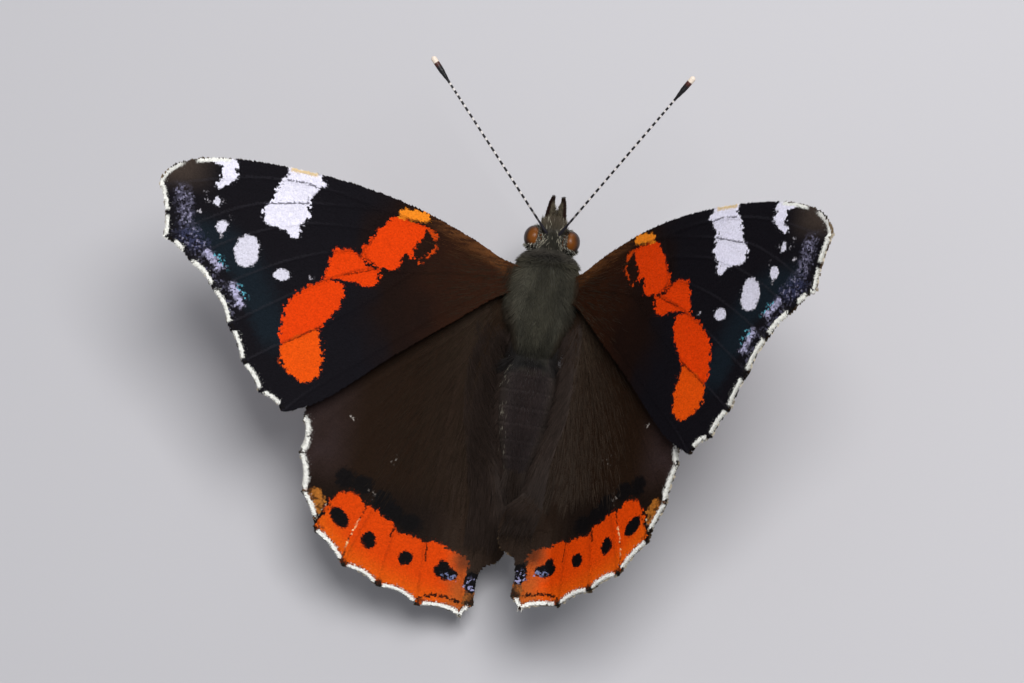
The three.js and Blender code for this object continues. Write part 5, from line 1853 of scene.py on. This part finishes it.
def eye_rim(name, side):
    """Short black and white tufts that stand round the inner edge of an eye and lean over it."""
    rng = np.random.default_rng(560 + side)
    count = RIM_HAIRS
    axis = np.array([side * 0.92, 0.12, 0.36])
    axis /= np.linalg.norm(axis)
    one = np.cross(axis, [0, 1.0, 0])
    one /= np.linalg.norm(one)
    two = np.cross(axis, one)
    turn = rng.uniform(0, 2 * math.pi, count)
    height = rng.uniform(-0.38, -0.02, count)
    ring = one * np.cos(turn)[:, None] + two * np.sin(turn)[:, None]
    height = height + 0.75 * ramp(-ring[:, 1], 0.3, 0.9) * rng.random(count)
    unit = ring * np.sqrt(1 - height**2)[:, None] + axis * height[:, None]
    roots = unit * (EYE_RADII - 0.03) + EYE_CENTRE * [side, 1, 1]
    normal = normed(unit / EYE_RADII)
    along = axis * 0.45 + normal * 0.45 + [0, -0.35, 0] + rng.normal(0, 0.15, unit.shape)
    white = rng.random(count) < 0.34
    fur = uneven(np.where(white[:, None], RIM_WHITE_HAIR, RIM_BLACK_HAIR), rng, 0.7, 1.1)
    size = sizes(0.07, rng.uniform(0.2, 0.34, count), 0.06)
    place = np.column_stack([turn / (2 * math.pi), (height + 1) / 2]) * 0.98 + 0.01
    return coat(name, *in_room(roots, along, normal), size, fur, place, TUFT, FUR, 0.1, 0.2, 570 + side)


eyes = {"eye_right": eye("eye_right_ball", 1), "eye_left": eye("eye_left_ball", -1)}
coats.append(eye_rim("head_rim_right", 1))
coats.append(eye_rim("head_rim_left", -1))
print("eyes:", list(eyes))

# %% [markdown]
# ## Legs
#
# A walking leg has a thick femur, a slimmer tibia and a foot of five short joints that lies along the floor
# and ends in claws. The paths are those of the solids. The front pair are short brushes, folded under the
# head.

# %% Legs
FOOT_LEVEL = 0.2
WALKING_LEGS = {
    "midleg_left": [(-1.0, 1.2, 6.4), (-3.4, 2.5, 5.6), (-6.4, 4.2, 6.6), (-7.9, 4.2, 2.6), (-8.8, 4.5, 0.3),
                    (-10.4, 5.1, FOOT_LEVEL), (-12.0, 5.6, FOOT_LEVEL)],
    "midleg_right": [(1.2, 1.2, 6.0), (3.4, 2.6, 5.2), (6.2, 4.4, 6.2), (7.6, 4.5, 2.4), (8.4, 4.8, 0.3),
                     (9.9, 5.5, FOOT_LEVEL), (11.4, 6.1, FOOT_LEVEL)],
    "hindleg_left": [(-1.0, -0.9, 6.2), (-3.6, -1.5, 4.9), (-6.5, -4.3, 5.7), (-7.6, -7.4, 2.2),
                     (-8.2, -8.9, 0.3), (-8.9, -10.7, FOOT_LEVEL), (-9.5, -12.3, FOOT_LEVEL)],
    "hindleg_right": [(1.2, -0.9, 5.8), (3.7, -1.5, 4.5), (6.3, -4.2, 5.3), (7.4, -7.1, 2.0),
                      (8.0, -8.5, 0.3), (8.8, -10.2, FOOT_LEVEL), (9.6, -11.8, FOOT_LEVEL)],
}
FORELEG = [(0.9, 3.0, -2.0), (1.5, 4.0, -3.2), (1.1, 5.3, -2.6), (0.8, 6.0, -2.75)]
LEG_BRISTLES = 420
FORELEG_HAIRS = 520
FOOT_JOINTS = 5
FOOT_START = 0.72
THIGH_DARK = colour("2e2418")
SHIN_TAN = colour("8a7454")
CLAW = colour("17110c")
BRISTLE_DARK = colour("4b3f2d")
BRISTLE_TAN = colour("a08c68")
FORELEG_SKIN = colour("3a3024")
FORELEG_FUR = colour("5a4f3c")


def floor_to_room(points):
    return (np.asarray(points) + floor_place) * MM


def leg_radius(t):
    thigh = 0.42 - 0.14 * ramp(t, 0.2, 0.5)
    knee = 0.05 * np.exp(-(((t - 0.43) / 0.02)**2))
    foot = (thigh + knee) - 0.08 * ramp(t, 0.6, 0.75)
    beat = (t - FOOT_START) / (1 - FOOT_START) * math.pi * FOOT_JOINTS
    joints = np.where(t > FOOT_START, 0.035 * np.abs(np.sin(beat)), 0.02)
    return (foot - 0.02 + joints) * np.where(t > 0.985, 0.75, 1)


def walking_leg(name, points):
    path = bent_path(points, 0.1)
    t = np.linspace(0, 1, len(path))
    radius = leg_radius(t)
    radius[0] = radius[-1] = 0.05
    tint = lay(plain(THIGH_DARK, len(t)), ramp(t, 0.35, 0.55), SHIN_TAN)
    tint = tint * (0.85 + 0.3 * np.abs(np.sin(t * 60)))[:, None]
    parts = [rod(path, radius, tint, sides=12, floor=0.0)]
    out = path[-1] - path[-8]
    out = out / np.linalg.norm(out)
    cross = np.array([-out[1], out[0], 0])
    for s in (-1, 1):
        claw = bent_path([path[-3] + cross * 0.08 * s + [0, 0, 0.05], path[-1] + cross * 0.16 * s,
                          path[-1] + out * 0.16 + cross * 0.2 * s - [0, 0, 0.12]], 0.04)
        thin = np.linspace(0.06, 0.012, len(claw))
        parts.append(rod(claw, thin, plain(CLAW, len(claw)), sides=8, floor=0.0))
    piece = rod_piece(name + "_limb", parts, LEG, floor_to_room)
    rng = np.random.default_rng(len(points) + sum(map(ord, name)))
    k = rng.integers(6, len(path) - 4, LEG_BRISTLES)
    normal, ahead = around(path, k, rng)
    along = ahead * 0.85 + normal * 0.45
    roots = path[k] + normal * (radius[k] * 0.95)[:, None]
    keep = roots[:, 2] + along[:, 2] * 0.4 > 0.08
    k, normal, along, roots = k[keep], normal[keep], along[keep], roots[keep]
    fur = lay(plain(BRISTLE_DARK, len(k)), (t[k] > 0.4).astype(float), BRISTLE_TAN)
    fur = uneven(fur, rng, 0.5, 1.2)
    size = sizes(0.06, rng.uniform(0.25, 0.55, len(k)) * (1 - 0.45 * t[k]), 0.06)
    coats.append(coat(name + "_bristles", floor_to_room(roots), along, normal, size, fur,
                      rod_map(normal, k, path), HAIR, FUR, 0.1, 0.2, 600))
    return piece


def foreleg(name, side):
    path = bent_path(np.array(FORELEG) * [side, 1, 1], 0.08)
    t = np.linspace(0, 1, len(path))
    radius = 0.26 - 0.08 * t
    radius[0] = radius[-1] = 0.04
    piece = rod_piece(name + "_limb", [rod(path, radius, plain(FORELEG_SKIN, len(t)))], LEG, to_room)
    rng = np.random.default_rng(640 + side)
    k = rng.integers(3, len(path) - 3, FORELEG_HAIRS)
    normal, ahead = around(path, k, rng)
    along = ahead * 0.8 + normal * 0.5
    roots = path[k] + normal * radius[k][:, None] * 0.9
    fur = uneven(plain(FORELEG_FUR, len(k)), rng, 0.5, 1.3)
    size = sizes(0.07, rng.uniform(0.3, 0.55, len(k)), 0.07)
    coats.append(coat(name + "_brush", *in_room(roots, along, normal), size, fur,
                      rod_map(normal, k, path), HAIR, FUR, 0.1, 0.2, 650))
    return piece


legs = {name: walking_leg(name, points) for name, points in WALKING_LEGS.items()}
legs["foreleg_left"] = foreleg("foreleg_left", -1)
legs["foreleg_right"] = foreleg("foreleg_right", 1)

# %% [markdown]
# ## What replaces what
#
# Each fine piece stands for the solid under it. Scales, fur and hair ride along with the one body.

# %% Ride and replace
for name, piece in skins.items():
    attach(piece, "root")
    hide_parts(name)
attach(body_skin, "root")
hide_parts("head", "thorax", "abdomen")
for group, finish in ((palps, "body_hair"), (antennae, "antenna"), (eyes, "eye"), (legs, "leg")):
    for name, piece in group.items():
        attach(piece, "root")
        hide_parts(name)
for piece in coats:
    kind = piece.name.split("_")[0]
    if kind not in ("forewing", "hindwing"):
        kind = "body_hair"
    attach(piece, "root")
for form in (FLAKE, TUFT, HAIR):
    bpy.data.objects.remove(form)
print("pieces riding:", len(skins) + len(palps) + len(antennae) + len(eyes) + len(legs) + len(coats) + 1)

# %% [markdown]
# ## Floor
#
# A pale plain floor shows the model and its shadow, and nothing else.

# %% Floor
HALF_FLOOR = 0.6
FLOOR_GREY = (0.55, 0.54, 0.56, 1)
FLOOR_ROUGHNESS = 0.9
floor_mesh = bpy.data.meshes.new("floor")
corners = [(x * HALF_FLOOR, y * HALF_FLOOR, 0) for x, y in ((-1, -1), (1, -1), (1, 1), (-1, 1))]
floor_mesh.from_pydata(corners, [], [(0, 1, 2, 3)])
floor = put_in_scene("floor", floor_mesh)
floor_finish, _, _, floor_skin = shader("pale_floor")
floor_skin.inputs["Base Color"].default_value = FLOOR_GREY
floor_skin.inputs["Roughness"].default_value = FLOOR_ROUGHNESS
floor_mesh.materials.append(floor_finish)

# %% [markdown]
# ## Lights
#
# The photo's light is soft and comes from above. One large lamp, above and towards the head and the right,
# does most of it. A weak one fills from the left rear, a third stands low in front of the head, and a pale
# room lightens the shadows.

# %% Lights
# for each lamp its place, its power and its size
LAMPS = {
    "key": ((0.085, 0.07, 0.33), 1.08, 0.16),
    "fill": ((-0.20, -0.16, 0.20), 0.05, 0.22),
    "back": ((0.05, 0.30, 0.10), 0.15, 0.14),
}
ROOM_COLOUR = (0.9, 0.93, 1.0, 1)
ROOM_STRENGTH = 0.27

for name, (place, power, size) in LAMPS.items():
    lamp = bpy.data.lights.new(name, "AREA")
    lamp.energy = power
    lamp.size = size
    holder = put_in_scene(name, lamp)
    holder.location = place
    holder.rotation_euler = Vector(place).to_track_quat("Z", "Y").to_euler()
world = bpy.data.worlds.new("room")
bpy.context.scene.world = world
world.use_nodes = True
world.node_tree.nodes["Background"].inputs["Color"].default_value = ROOM_COLOUR
world.node_tree.nodes["Background"].inputs["Strength"].default_value = ROOM_STRENGTH
bpy.context.scene.view_settings.view_transform = "Standard"
print("lamps:", len(LAMPS))

# %% [markdown]
# ## Camera
#
# The camera is a long lens that looks square on to the insect's back, as in the photo, turned so that the
# head leans a little to the right.

# %% Camera
LENS = 120
SENSOR = 36
VIEW_DISTANCE = 292.5
VIEW_TILT = math.radians(9)
VIEW_SHIFT = (2.57, 3.30)
CLIP_START = 0.01

right = np.array([math.cos(VIEW_TILT), math.sin(VIEW_TILT), 0])
upward = np.array([-math.sin(VIEW_TILT), math.cos(VIEW_TILT), 0])
eye_place = -right * VIEW_SHIFT[0] - upward * VIEW_SHIFT[1] + np.array([0, 0, VIEW_DISTANCE])
camera_data = bpy.data.cameras.new("camera")
camera_data.lens = LENS
camera_data.sensor_width = SENSOR
camera_data.clip_start = CLIP_START
camera = put_in_scene("camera", camera_data)
axes = np.column_stack([turn_to_room(right), turn_to_room(upward), turn_to_room([0, 0, 1.0])])
placing = Matrix(axes.tolist()).to_4x4()
placing.translation = Vector(to_room(eye_place[None])[0])
camera.matrix_world = placing
bpy.context.scene.camera = camera
print("camera height, mm:", round(placing.translation.z / MM))
